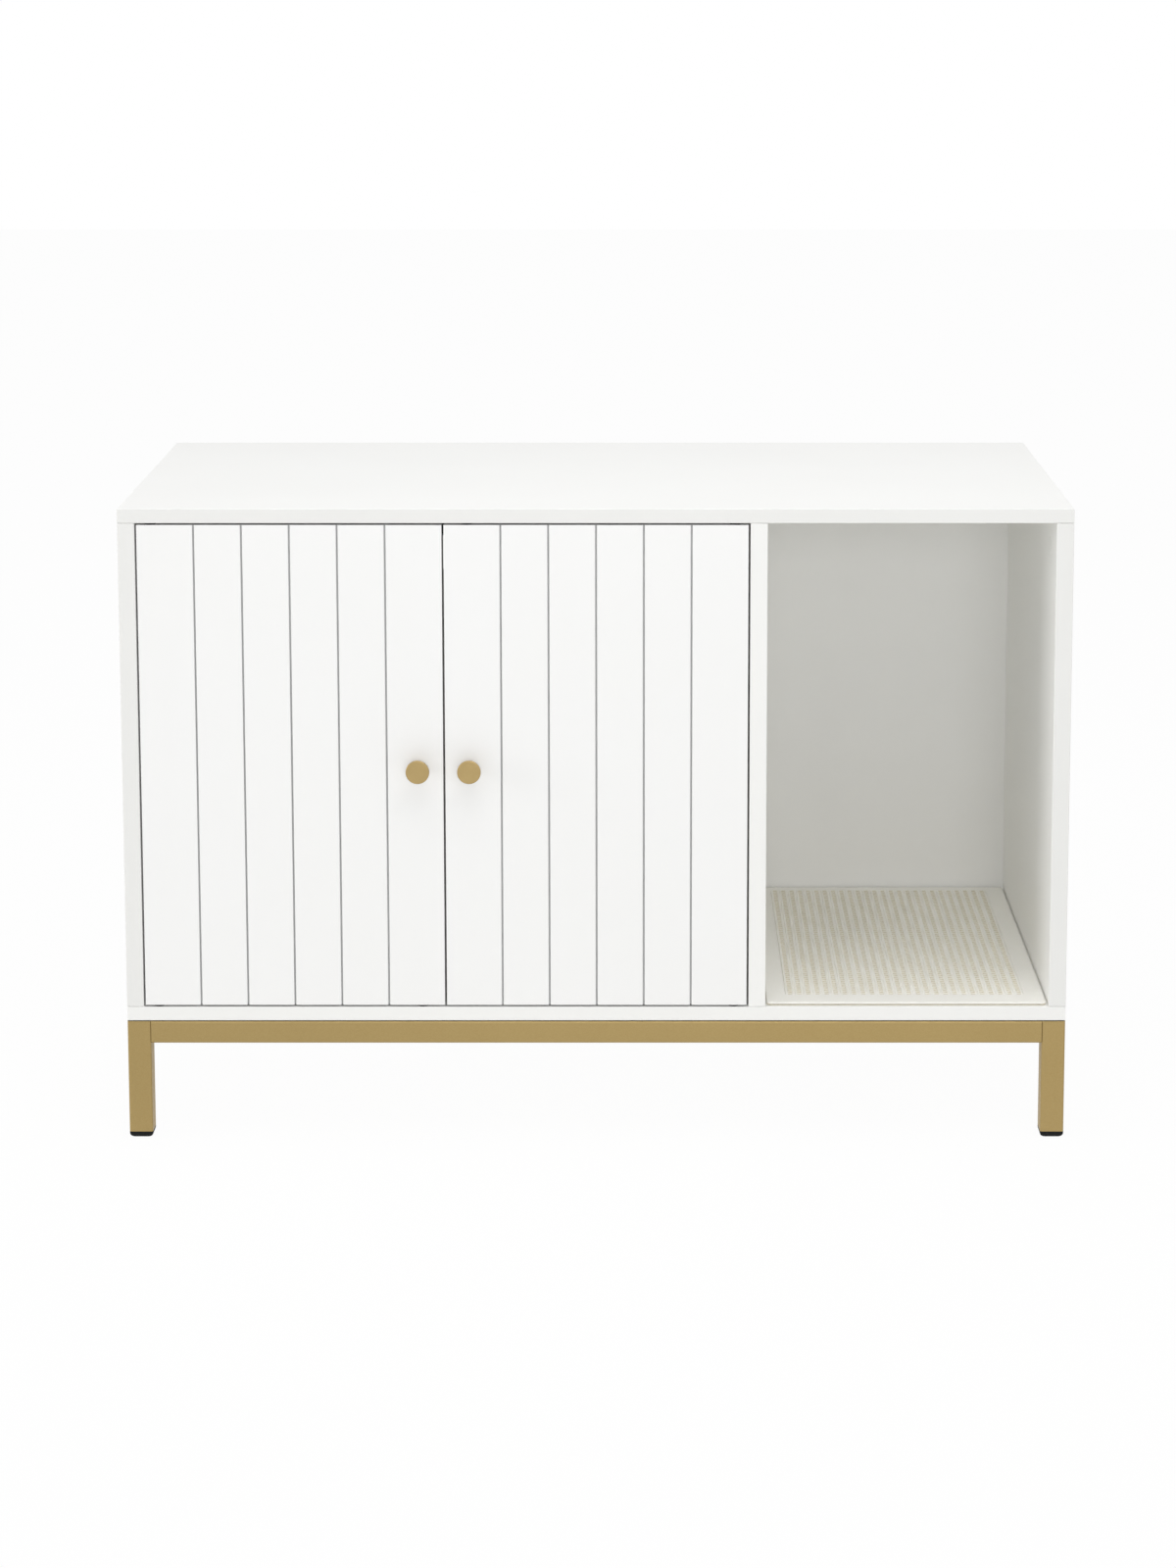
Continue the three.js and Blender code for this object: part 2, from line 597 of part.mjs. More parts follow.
function doorGeometry(door) {
  const spanX = (from, to) => [Math.min(from, to), Math.max(from, to)];
  const x = spanX(-door.reach * PIVOT_INSET, door.reach * FREE_EDGE);
  const y = [-DOOR_THICKNESS / 2, DOOR_THICKNESS / 2];
  const blank = board(x, y, [0, DOOR_HEIGHT], 'y');
  const middle = middleOf(x);

  const mouth = PLANK_GROOVE_WIDTH / 2;
  const flare = mouth * (1 + BEYOND / PLANK_GROOVE_DEPTH);
  const vee = new THREE.Shape();
  vee.moveTo(-flare, y[0] - BEYOND);
  vee.lineTo(flare, y[0] - BEYOND);
  vee.lineTo(0, y[0] + PLANK_GROOVE_DEPTH);
  const grooves = [];
  for (let i = 0; i < PLANK_GROOVES; i += 1) {
    const offset = (i - (PLANK_GROOVES - 1) / 2) * PLANK_PITCH;
    grooves.push(plate(vee, -BEYOND, DOOR_HEIGHT + BEYOND).translate(middle + offset, 0, 0));
  }

  const bushRadius = BUSH_RADIUS + FIT_GAP;
  const bushDepth = BUSH_DEPTH + FIT_GAP;
  const bushBores = [
    rod('z', {}, -BEYOND, bushDepth, bushRadius),
    rod('z', {}, DOOR_HEIGHT - bushDepth, DOOR_HEIGHT + BEYOND, bushRadius),
  ];
  const strikeDepth = STRIKE_THICKNESS + FIT_GAP;
  const strikeSpan = door.catchAt === 'bottom'
    ? [-BEYOND, strikeDepth]
    : [DOOR_HEIGHT - strikeDepth, DOOR_HEIGHT + BEYOND];
  const strikeBore = rod('z', { x: door.reach * CATCH_REACH }, ...strikeSpan, CATCH_RADIUS + FIT_GAP);
  const knobAt = { x: door.reach * KNOB_REACH, z: DOOR_HEIGHT / 2 };
  const knobBore = rod('y', knobAt, y[0] - BEYOND, y[1] + BEYOND, KNOB_SCREW_RADIUS + FIT_GAP);
  return cut(blank, [...grooves, ...bushBores, strikeBore, knobBore]);
}

// A flanged sleeve whose flange fills the door gap; z = 0 is the door's edge.
function pivotBushGeometry() {
  const bore = PIN_RADIUS + FIT_GAP;
  const flange = -(DOOR_GAP - FIT_GAP);
  return turned([
    [bore, flange],
    [BUSH_FLANGE_RADIUS, flange],
    [BUSH_FLANGE_RADIUS, 0],
    [BUSH_RADIUS, 0],
    [BUSH_RADIUS, BUSH_DEPTH],
    [bore, BUSH_DEPTH],
    [bore, flange],
  ]);
}

function strikeGeometry() {
  return turned([
    [0, 0],
    [CATCH_RADIUS, 0],
    [CATCH_RADIUS, STRIKE_THICKNESS],
    [0, STRIKE_THICKNESS],
  ]);
}

// Turned about +Z from the face that sits on the door, then laid over to point at the user.
function knobGeometry() {
  const thread = KNOB_SCREW_RADIUS + FIT_GAP;
  const headBack = KNOB_PROJECTION - KNOB_HEAD_THICKNESS;
  return turned(
    [
      [0, KNOB_THREAD_DEPTH],
      [thread, KNOB_THREAD_DEPTH],
      [thread, 0],
      [KNOB_BASE_RADIUS, 0],
      [KNOB_BASE_RADIUS, KNOB_BASE_THICKNESS],
      [KNOB_STEM_RADIUS, KNOB_BASE_THICKNESS + KNOB_EDGE],
      [KNOB_STEM_RADIUS, headBack - KNOB_EDGE],
      [KNOB_BASE_RADIUS, headBack],
      [KNOB_RADIUS - KNOB_EDGE, headBack],
      [KNOB_RADIUS, headBack + KNOB_EDGE],
      [KNOB_RADIUS, KNOB_PROJECTION - KNOB_EDGE],
      [KNOB_RADIUS - KNOB_EDGE, KNOB_PROJECTION],
      [0, KNOB_PROJECTION],
    ],
    KNOB_SIDES,
  ).rotateX(Math.PI / 2);
}

// z = 0 is the door's back face; the screw points at the knob.
function knobScrewGeometry() {
  const length = DOOR_THICKNESS + KNOB_SCREW_IN_KNOB;
  return turned([
    [0, -KNOB_SCREW_HEAD_HEIGHT],
    [KNOB_SCREW_HEAD_RADIUS * PAN_HEAD_FLAT, -KNOB_SCREW_HEAD_HEIGHT],
    [KNOB_SCREW_HEAD_RADIUS, -KNOB_SCREW_HEAD_HEIGHT / 2],
    [KNOB_SCREW_HEAD_RADIUS, 0],
    [KNOB_SCREW_RADIUS, 0],
    [KNOB_SCREW_RADIUS, length],
    [0, length],
  ]).rotateX(Math.PI / 2);
}

function buildDoor(door) {
  const group = new THREE.Group();
  group.position.set(door.pivotX, PIVOT_Y, FLOOR_Z + DOOR_GAP);
  addPart(group, `${door.side}_door`, doorGeometry(door), whiteBoard);

  addPart(group, `${door.side}_bush_bottom`, pivotBushGeometry(), blackPlastic);
  const topBush = pivotBushGeometry().rotateX(Math.PI);
  addPart(group, `${door.side}_bush_top`, topBush, blackPlastic, 0, 0, DOOR_HEIGHT);

  const strikeZ = door.catchAt === 'bottom' ? 0 : DOOR_HEIGHT - STRIKE_THICKNESS;
  const strikeX = door.reach * CATCH_REACH;
  addPart(group, `${door.side}_catch_strike`, strikeGeometry(), zincSteel, strikeX, 0, strikeZ);

  const knobX = door.reach * KNOB_REACH;
  const knobZ = DOOR_HEIGHT / 2;
  const front = -DOOR_THICKNESS / 2;
  const back = DOOR_THICKNESS / 2;
  addPart(group, `${door.side}_knob`, knobGeometry(), goldPaint, knobX, front, knobZ);
  addPart(group, `${door.side}_knob_screw`, knobScrewGeometry(), zincSteel, knobX, back, knobZ);
  return group;
}

// ---- Scratch mat ------------------------------------------------------------------------

function scratchMatGeometry() {
  const x = [DIVIDER_RIGHT_X + MAT_WIDTH_GAP, RIGHT_INNER_X - MAT_WIDTH_GAP];
  const y = [MAT_FRONT_SETBACK, BACK_Y - MAT_BACK_GAP];
  const field = {
    x: [x[0] + MAT_HEM_WIDTH, x[1] - MAT_HEM_WIDTH],
    y: [y[0] + MAT_HEM_WIDTH, y[1] - MAT_HEM_WIDTH],
  };
  const outline = () => roundedRectangle(new THREE.Shape(), x, y, MAT_CORNER);
  const base = plate(outline(), 0, MAT_BASE_THICKNESS);
  const hem = cut(plate(outline(), 0, MAT_HEM_THICKNESS), [
    block(field.x, field.y, [-BEYOND, MAT_HEM_THICKNESS + BEYOND]),
  ]);

  // A rib's section is drawn in ZX, because it runs along Y.
  const section = new THREE.Shape();
  section.moveTo(0, -MAT_RIB_WIDTH / 2);
  section.lineTo(MAT_RIB_THICKNESS, -MAT_RIB_CREST / 2);
  section.lineTo(MAT_RIB_THICKNESS, MAT_RIB_CREST / 2);
  section.lineTo(0, MAT_RIB_WIDTH / 2);
  const ribCount = Math.floor((field.x[1] - field.x[0]) / MAT_RIB_PITCH);
  const ribs = [];
  for (let i = 0; i < ribCount; i += 1) {
    const middle = middleOf(field.x) + (i - (ribCount - 1) / 2) * MAT_RIB_PITCH;
    const rib = plate(section, field.y[0] - FIT_GAP, field.y[1] + FIT_GAP).applyMatrix4(TURN_TO.y);
    ribs.push(rib.translate(middle, 0, 0));
  }
  return join([base, hem, ...ribs]);
}

// ---- Base frame -------------------------------------------------------------------------

function tubeGeometry(length) {
  const half = TUBE_SIZE / 2;
  const innerHalf = TUBE_INNER / 2;
  const section = roundedRectangle(new THREE.Shape(), [-half, half], [-half, half], TUBE_CORNER);
  const bore = [-innerHalf, innerHalf];
  const innerCorner = Math.max(TUBE_CORNER - TUBE_WALL, TUBE_LEAST_CORNER);
  section.holes.push(roundedRectangle(new THREE.Path(), bore, bore, innerCorner));
  return plate(section, -length / 2, length / 2);
}

// A cap with a rounded underside; ribs on its plug grip the inside of the leg.
function footGeometry() {
  const half = TUBE_SIZE / 2;
  const core = half - FOOT_ROUNDING;
  const seat = new THREE.Shape();
  seat.moveTo(-core, -core);
  seat.lineTo(core, -core);
  seat.lineTo(core, core);
  seat.lineTo(-core, core);
  const pillow = new THREE.ExtrudeGeometry(seat, {
    depth: FOOT_HEIGHT,
    bevelThickness: FOOT_ROUNDING,
    bevelSize: FOOT_ROUNDING,
    bevelSegments: FOOT_ROUNDING_STEPS,
  }).translate(0, 0, FOOT_ROUNDING);
  const outline = roundedRectangle(new THREE.Shape(), [-half, half], [-half, half], TUBE_CORNER);
  const cap = common(pillow, plate(outline, -BEYOND, FOOT_HEIGHT));

  const plugHalf = FOOT_PLUG_CORE / 2;
  const ribHalf = TUBE_INNER / 2 - FIT_GAP;
  const top = FOOT_HEIGHT + FOOT_PLUG_DEPTH;
  const plug = block([-plugHalf, plugHalf], [-plugHalf, plugHalf], [FOOT_HEIGHT / 2, top]);
  const pitch = FOOT_PLUG_DEPTH / FOOT_RIB_COUNT;
  const ribs = [];
  for (let i = 0; i < FOOT_RIB_COUNT; i += 1) {
    const z = FOOT_HEIGHT + (i + 0.5) * pitch;
    const span = [z - FOOT_RIB_THICKNESS / 2, z + FOOT_RIB_THICKNESS / 2];
    ribs.push(block([-ribHalf, ribHalf], [-ribHalf, ribHalf], span));
  }
  return join([cap, plug, ...ribs]);
}

// A long rail lies along X and is bored from top to bottom for its two screws.
function longRailGeometry() {
  const half = TUBE_SIZE / 2 + BEYOND;
  const rail = tubeGeometry(CABINET_WIDTH - 2 * TUBE_SIZE).applyMatrix4(TURN_TO.x);
  const holes = FRAME_SCREW_XS.map((x) =>
    rod('z', { x }, -half, half, WOOD_SCREW_RADIUS + FIT_GAP),
  );
  return cut(rail, holes);
}

// The frame group stands on the floor; its X and Y are the carcass's.
function buildFrame() {
  const frame = new THREE.Group();
  const legLength = FRAME_TOP_Z - FOOT_HEIGHT;
  for (const corner of CORNERS) {
    const { x, y } = corner;
    const legZ = FOOT_HEIGHT + legLength / 2;
    addPart(frame, `leg_${corner.tag}`, tubeGeometry(legLength), goldPaint, x, y, legZ);
    addPart(frame, `foot_${corner.tag}`, footGeometry(), blackPlastic, x, y, 0);
  }

  const shortRail = tubeGeometry(CABINET_DEPTH - 2 * TUBE_SIZE).applyMatrix4(TURN_TO.y);
  const middleY = CABINET_DEPTH / 2;
  const [frontY, rearY] = RAIL_YS;
  addPart(frame, 'rail_front', longRailGeometry(), goldPaint, 0, frontY, RAIL_Z);
  addPart(frame, 'rail_rear', longRailGeometry(), goldPaint, 0, rearY, RAIL_Z);
  addPart(frame, 'rail_left', shortRail, goldPaint, -LEG_X, middleY, RAIL_Z);
  addPart(frame, 'rail_right', shortRail.clone(), goldPaint, LEG_X, middleY, RAIL_Z);
  addPart(frame, 'rail_middle', shortRail.clone(), goldPaint, 0, middleY, RAIL_Z);

  const screw = woodScrewGeometry(TUBE_SIZE + FRAME_SCREW_GRIP);
  for (const at of FRAME_SCREWS) {
    addPart(frame, `frame_screw_${at.tag}`, screw, zincSteel, at.x, at.y, FRAME_TOP_Z - TUBE_SIZE);
  }
  return frame;
}

// ---- Carcass ----------------------------------------------------------------------------

function buildCarcass() {
  const carcass = new THREE.Group();
  addPart(carcass, 'top_panel', topPanelGeometry(), whiteBoard);
  addPart(carcass, 'bottom_panel', bottomPanelGeometry(), whiteBoard);
  for (const upright of UPRIGHTS) {
    const name = upright.tag === 'divider' ? 'divider_panel' : `${upright.tag}_side_panel`;
    addPart(carcass, name, uprightGeometry(upright), whiteBoard);
    for (const joint of JOINTS) {
      const place = `${upright.tag}_${joint.tag}`;
      const screw = carcassScrewGeometry();
      addPart(carcass, `carcass_screw_${place}`, screw, zincSteel, middleOf(upright.x), joint.y, 0);
      addPart(carcass, `cam_fitting_${place}`, camFittingGeometry(upright, joint.y), zincSteel);
    }
  }
  const litterBack = backPanelGeometry([LEFT_INNER_X, DIVIDER_LEFT_X], DOORS_MEET_X);
  addPart(carcass, 'back_panel_litter', litterBack, whiteBoard);
  addPart(carcass, 'back_panel_bay', backPanelGeometry([DIVIDER_RIGHT_X, RIGHT_INNER_X]), whiteBoard);

  for (const door of DOORS) {
    const { x, y } = pivotAt(door);
    addPart(carcass, `${door.side}_pin_bottom`, pivotPinGeometry(), zincSteel, x, y, FLOOR_Z);
    const topPin = pivotPinGeometry().rotateX(Math.PI);
    addPart(carcass, `${door.side}_pin_top`, topPin, zincSteel, x, y, CEILING_Z);

    const magnet = catchMagnetGeometry();
    const catchAt = catchPlace(door);
    const magnetZ = door.catchAt === 'bottom' ? FLOOR_Z : CEILING_Z;
    if (door.catchAt === 'top') magnet.rotateX(Math.PI);
    addPart(carcass, `${door.side}_catch_magnet`, magnet, blackPlastic, catchAt.x, catchAt.y, magnetZ);
    carcass.add(buildDoor(door));
  }
  addPart(carcass, 'door_stop', doorStopGeometry(), blackPlastic);
  const stopScrew = woodScrewGeometry(STOP_SCREW_LENGTH);
  const stopBottom = CEILING_Z - STOP_HEIGHT;
  addPart(carcass, 'door_stop_screw', stopScrew, zincSteel, STOP_SCREW_AT.x, STOP_SCREW_AT.y, stopBottom);
  const bumperZ = CEILING_Z - STOP_HEIGHT / 2;
  for (const door of DOORS) {
    const x = DOORS_MEET_X - (door.reach * BUMPER_SPREAD) / 2;
    addPart(carcass, `${door.side}_bumper`, bumperGeometry(), blackRubber, x, STOP_Y, bumperZ);
  }
  addPart(carcass, 'scratch_mat', scratchMatGeometry(), wovenMat, 0, 0, FLOOR_Z + FIT_GAP);
  return carcass;
}

const cabinet = new THREE.Group();
const carcass = buildCarcass();
carcass.position.set(0, FRONT_Y, BASE_HEIGHT);
const frame = buildFrame();
frame.position.set(0, FRONT_Y, 0);
cabinet.add(carcass, frame);

export default cabinet;
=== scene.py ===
import math

import bmesh
import bpy
from mathutils import Matrix, Vector


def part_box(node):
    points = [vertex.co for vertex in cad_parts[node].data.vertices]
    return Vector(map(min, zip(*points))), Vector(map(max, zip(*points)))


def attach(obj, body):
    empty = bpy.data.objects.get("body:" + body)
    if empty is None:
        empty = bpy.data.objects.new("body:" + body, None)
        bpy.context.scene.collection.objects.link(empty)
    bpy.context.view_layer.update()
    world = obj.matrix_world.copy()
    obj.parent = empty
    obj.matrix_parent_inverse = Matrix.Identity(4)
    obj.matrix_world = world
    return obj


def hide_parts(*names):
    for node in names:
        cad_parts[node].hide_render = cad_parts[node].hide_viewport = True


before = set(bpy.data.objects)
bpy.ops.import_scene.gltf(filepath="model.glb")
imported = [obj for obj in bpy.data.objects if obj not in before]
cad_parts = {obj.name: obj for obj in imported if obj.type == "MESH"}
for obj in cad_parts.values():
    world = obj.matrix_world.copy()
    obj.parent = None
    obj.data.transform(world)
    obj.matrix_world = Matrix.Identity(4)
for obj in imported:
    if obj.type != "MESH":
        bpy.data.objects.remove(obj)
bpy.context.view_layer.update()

MM = 0.001
NEAR = 1e-6  # points closer than this, in m, are one
OVER = 4.0  # how far a cutter stands out of what it cuts, in mm
FINE_EDGE = 0.15  # radius of the softened edges of small hard parts, in mm
SQUARE = math.pi / 2  # a right angle
AXES = {"x": 0, "y": 1, "z": 2}
TURNING_RADIUS = "turning_radius"  # the attribute that holds a turned piece's own radius

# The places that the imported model's nodes are named for.
SIDES = ("left", "divider", "right")
ENDS = ("front", "rear")
CORNERS = ("front_left", "front_right", "rear_left", "rear_right")
RAILS = {"front": "x", "rear": "x", "left": "y", "right": "y", "middle": "y"}  # and their axes

# ---- Camera --------------------------------------------------------------------------------
# A long lens from a little right of the middle, 1.27 m up and 3.7 m before the doors. It is tilted
# down by 8.4 degrees, and its shift takes back about a third of the lean that this gives uprights.
FRAME_HEIGHT = 1600  # of the picture, in pixels
CAMERA_X = 40.8 * MM
CAMERA_BEFORE_DOORS = 3682.5 * MM
CAMERA_HEIGHT = 1267.2 * MM
CAMERA_TILT = math.radians(8.41)
FOCAL_PIXELS = 3646.0
SHIFT_PIXELS = (47.6, 320)  # of the lens axis from the picture's middle, to the right and up
SENSOR = 36.0  # the sensor's longer side, in mm

door_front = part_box("left_door")[0].y
camera_data = bpy.data.cameras.new("camera")
camera_data.sensor_width = SENSOR
camera_data.lens = FOCAL_PIXELS / FRAME_HEIGHT * SENSOR
camera_data.shift_x = -SHIFT_PIXELS[0] / FRAME_HEIGHT
camera_data.shift_y = -SHIFT_PIXELS[1] / FRAME_HEIGHT
camera = bpy.data.objects.new("camera", camera_data)
camera.location = (CAMERA_X, door_front - CAMERA_BEFORE_DOORS, CAMERA_HEIGHT)
camera.rotation_euler = (math.pi / 2 - CAMERA_TILT, 0, 0)
bpy.context.scene.collection.objects.link(camera)
bpy.context.scene.camera = camera
bpy.context.scene.view_settings.view_transform = "Standard"


# ---- Materials -----------------------------------------------------------------------------
def linear(colour):
    """An sRGB hex colour as linear RGBA."""
    shares = [int(colour[i : i + 2], 16) / 255 for i in (1, 3, 5)]
    return (*[s / 12.92 if s <= 0.04045 else ((s + 0.055) / 1.055) ** 2.4 for s in shares], 1.0)


def add_node(tree, kind, inputs=None, **settings):
    """A new node with its settings. An input given as a socket is linked, and any other is set."""
    made = tree.nodes.new(kind)
    for name, value in settings.items():
        setattr(made, name, value)
    for key, value in (inputs or {}).items():
        if isinstance(value, bpy.types.NodeSocket):
            tree.links.new(value, made.inputs[key])
        else:
            made.inputs[key].default_value = value
    return made


def new_material(name):
    material = bpy.data.materials.new(name)
    material.use_nodes = True
    material.node_tree.nodes.clear()
    place = add_node(material.node_tree, "ShaderNodeTexCoord").outputs["Object"]
    return material, material.node_tree, place


def patches(tree, place, size_mm, detail=2.0, stretch=(1, 1, 1)):
    """Soft random patches about size_mm across, as a factor from 0 to 1."""
    scaled = add_node(tree, "ShaderNodeMapping", {"Vector": place, "Scale": stretch}).outputs[0]
    noise = {"Vector": scaled, "Scale": 1 / (size_mm * MM), "Detail": detail, "Roughness": 0.5}
    return add_node(tree, "ShaderNodeTexNoise", noise).outputs["Fac"]


def between(tree, factor, low, high):
    """The factor's middle range spread from low to high."""
    spread = {"Value": factor, "From Min": 0.3, "From Max": 0.7, "To Min": low, "To Max": high}
    return add_node(tree, "ShaderNodeMapRange", spread).outputs["Result"]


def mixed(tree, factor, first, second):
    """A colour between two, which are hex values or sockets."""
    pair = [linear(c) if isinstance(c, str) else c for c in (first, second)]
    inputs = {"Factor": factor, 6: pair[0], 7: pair[1]}  # 6 and 7 are the node's two colours
    mix = add_node(tree, "ShaderNodeMix", data_type="RGBA", inputs=inputs)
    return mix.outputs[2]


def relief(tree, height, depth_mm, strength=1.0, under=None):
    """A bump normal of the given depth, on top of another one if there is one."""
    inputs = {"Height": height, "Distance": depth_mm * MM, "Strength": strength}
    if under is not None:
        inputs["Normal"] = under
    return add_node(tree, "ShaderNodeBump", inputs).outputs["Normal"]


def wave_scale(spacing_mm):
    """The wave texture's scale for bands that far apart: it has 20 radians to the unit."""
    return math.tau / 20 / (spacing_mm * MM)


def finish_with(tree, surface):
    shader = add_node(tree, "ShaderNodeBsdfPrincipled", surface)
    add_node(tree, "ShaderNodeOutputMaterial", {"Surface": shader.outputs[0]})


def sprayed_lacquer():
    # White polyurethane lacquer sprayed on MDF: even satin, with the faint dimpled skin that spray
    # leaves and a slight drift of tone across a panel.
    material, tree, place = new_material("satin_white_lacquer")
    colour = mixed(tree, patches(tree, place, 160), "#F5F5F5", "#F3F3F2")
    skin = relief(tree, patches(tree, place, 2.6, 1.0), 0.012)
    skin = relief(tree, patches(tree, place, 0.5, 1.0), 0.003, under=skin)
    rough = between(tree, patches(tree, place, 14), 0.36, 0.46)
    finish_with(tree, {"Base Color": colour, "Roughness": rough, "IOR": 1.49, "Normal": skin})
    return material


def painted_shade_coat():
    # Painted shade: a grey coat on the bottoms of the narrow plank lines and on the door's edges, so
    # that the slots and the gaps round the doors read dark as shade would make them.
    material, tree, place = new_material("painted_shade_grey_lacquer")
    colour = mixed(tree, patches(tree, place, 30), "#CFD0D0", "#C3C4C4")
    finish_with(tree, {"Base Color": colour, "Roughness": 0.6, "IOR": 1.49})
    return material


def melamine_face():
    # Melamine-faced particle board, pressed against a pearl-embossed plate: matt white with a very
    # fine grain, drawn at 1.1 mm so that it shows.
    material, tree, place = new_material("white_melamine_board")
    colour = mixed(tree, patches(tree, place, 210), "#F6F6F4", "#F2F2F0")
    pearl = relief(tree, patches(tree, place, 1.1, 2.0), 0.012)
    rough = between(tree, patches(tree, place, 3), 0.42, 0.54)
    finish_with(tree, {"Base Color": colour, "Roughness": rough, "IOR": 1.5, "Normal": pearl})
    return material


def edge_band(name, light, dark):
    # ABS edge tape glued on the boards' edges: a shade greyer than the faces, with the fine lines
    # that its rollers leave, here along X.
    material, tree, place = new_material(name)
    lines = patches(tree, place, 1.2, 1.0, stretch=(0.02, 1, 1))
    colour = mixed(tree, patches(tree, place, 90), light, dark)
    skin = relief(tree, lines, 0.01)
    rough = between(tree, patches(tree, place, 5), 0.4, 0.5)
    finish_with(tree, {"Base Color": colour, "Roughness": rough, "IOR": 1.53, "Normal": skin})
    return material


def foiled_hardboard():
    # 3 mm hardboard under printed white foil: slightly wavy, warmer and duller than the boards.
    material, tree, place = new_material("white_foiled_hardboard")
    colour = mixed(tree, patches(tree, place, 120), "#F0F0EF", "#ECECEB")
    waves = relief(tree, patches(tree, place, 60, 1.0), 0.25)
    skin = relief(tree, patches(tree, place, 0.9, 2.0), 0.015, under=waves)
    rough = between(tree, patches(tree, place, 6), 0.5, 0.62)
    finish_with(tree, {"Base Color": colour, "Roughness": rough, "IOR": 1.5, "Normal": skin})
    return material


def powder_coat():
    # Gold polyester powder baked on steel tube: satin, with tiny metallic flakes and a fine
    # orange-peel skin. The flakes are drawn 0.9 mm wide so that they show.
    material, tree, place = new_material("gold_powder_coat")
    drift = mixed(tree, patches(tree, place, 110), "#A8915F", "#A18A59")
    flake_cells = {"Vector": place, "Scale": 1 / (0.9 * MM)}
    flakes = add_node(tree, "ShaderNodeTexVoronoi", flake_cells).outputs["Color"]
    glint = between(tree, flakes, 0.0, 0.12)
    colour = mixed(tree, glint, drift, "#BCA775")
    skin = relief(tree, patches(tree, place, 1.6, 2.0), 0.02)
    rough = between(tree, patches(tree, place, 4), 0.42, 0.52)
    surface = {"Base Color": colour, "Metallic": 0.7, "Roughness": rough, "Normal": skin}
    finish_with(tree, surface)
    return material


def turned_gold():
    # Zinc-alloy knob, turned and plated satin gold: fine rings about its axis, 0.35 mm apart, read
    # from the piece's own turning radius.
    material, tree, place = new_material("satin_gold_plate")
    radius = add_node(tree, "ShaderNodeAttribute", attribute_name=TURNING_RADIUS).outputs["Fac"]
    ring_place = add_node(tree, "ShaderNodeCombineXYZ", {"X": radius}).outputs[0]
    ring_wave = {"Vector": ring_place, "Scale": wave_scale(0.35), "Distortion": 0.4}
    rings = add_node(tree, "ShaderNodeTexWave", ring_wave).outputs["Fac"]
    colour = mixed(tree, patches(tree, place, 9), "#AD9768", "#A68F61")
    skin = relief(tree, rings, 0.01)
    skin = relief(tree, patches(tree, place, 0.6, 2.0), 0.006, under=skin)
    rough = between(tree, patches(tree, place, 3), 0.34, 0.44)
    surface = {"Base Color": colour, "Metallic": 0.85, "Roughness": rough, "Normal": skin}
    finish_with(tree, surface)
    return material


def moulded_plastic():
    # Black polypropylene, injection moulded in a spark-eroded tool: matt, with a fine grain.
    material, tree, place = new_material("black_moulded_plastic")
    colour = mixed(tree, patches(tree, place, 5), "#141515", "#191A1A")
    grain = relief(tree, patches(tree, place, 0.7, 2.0), 0.03)
    rough = between(tree, patches(tree, place, 2), 0.5, 0.62)
    surface = {"Base Color": colour, "Roughness": rough, "Normal": grain}
    finish_with(tree, {**surface, "IOR": 1.49, "Specular IOR Level": 0.15})
    return material


def soft_rubber():
    # Black rubber pads: dead matt, with a dusting of bloom.
    material, tree, place = new_material("black_rubber")
    colour = mixed(tree, patches(tree, place, 2.5), "#191919", "#262625")
    grain = relief(tree, patches(tree, place, 0.5, 2.0), 0.02)
    surface = {"Base Color": colour, "Roughness": 0.86, "Normal": grain}
    finish_with(tree, {**surface, "IOR": 1.52, "Specular IOR Level": 0.2})
    return material


def zinc_plate():
    # Bright zinc plated steel: cool grey with cloudy patches from the plating bath.
    material, tree, place = new_material("bright_zinc_plate")
    colour = mixed(tree, patches(tree, place, 2.2), "#BDC1C4", "#A9ADB2")
    grain = relief(tree, patches(tree, place, 0.4, 2.0), 0.006)
    rough = between(tree, patches(tree, place, 1.4), 0.26, 0.4)
    surface = {"Base Color": colour, "Metallic": 1.0, "Roughness": rough, "Normal": grain}
    finish_with(tree, surface)
    return material


def threads(tree, place, spacing_mm, turn):
    """Rounded parallel threads, spacing_mm apart, running along +Y turned by the given angle."""
    turned_place = {"Vector": place, "Rotation": (0, 0, turn)}
    along = add_node(tree, "ShaderNodeMapping", turned_place).outputs[0]
    wave = {"Vector": along, "Scale": wave_scale(spacing_mm), "Distortion": 0.6, "Detail Scale": 2.0}
    return add_node(tree, "ShaderNodeTexWave", wave).outputs["Fac"]


def woven_cloth(name, light, dark, spacing_mm, depth_mm, turns, streaks=1.0, blotch=0.2):
    """Cloth of two sets of threads at the given angles, with painted shade that darkens it where
    they dip. blotch is how dark its blotches get, and they are drawn out along Y where streaks is
    under 1."""
    material, tree, place = new_material(name)
    heights = [threads(tree, place, spacing_mm, turn) for turn in turns]
    weave = {0: heights[0], 1: heights[1]}
    height = add_node(tree, "ShaderNodeMath", weave, operation="MAXIMUM").outputs[0]
    # The dark tone where the threads dip is painted shade.
    shade = mixed(tree, height, dark, light)
    drift = between(tree, patches(tree, place, 7, stretch=(1, streaks, 1)), 0.0, blotch)
    colour = mixed(tree, drift, shade, dark)
    skin = relief(tree, height, depth_mm)
    fuzz = relief(tree, patches(tree, place, 0.8, 3.0), depth_mm / 3, under=skin)
    surface = {"Base Color": colour, "Roughness": 0.92, "Normal": fuzz, "IOR": 1.45}
    finish_with(tree, {**surface, "Sheen Weight": 0.15, "Sheen Roughness": 0.5})
    return material


lacquer = sprayed_lacquer()
# A grey that paints shade into the plank lines and along the door's edges.
painted_shade_grey = painted_shade_coat()
melamine = melamine_face()
edge_tape = edge_band("white_edge_tape", "#F4F4F2", "#F0F0EE")
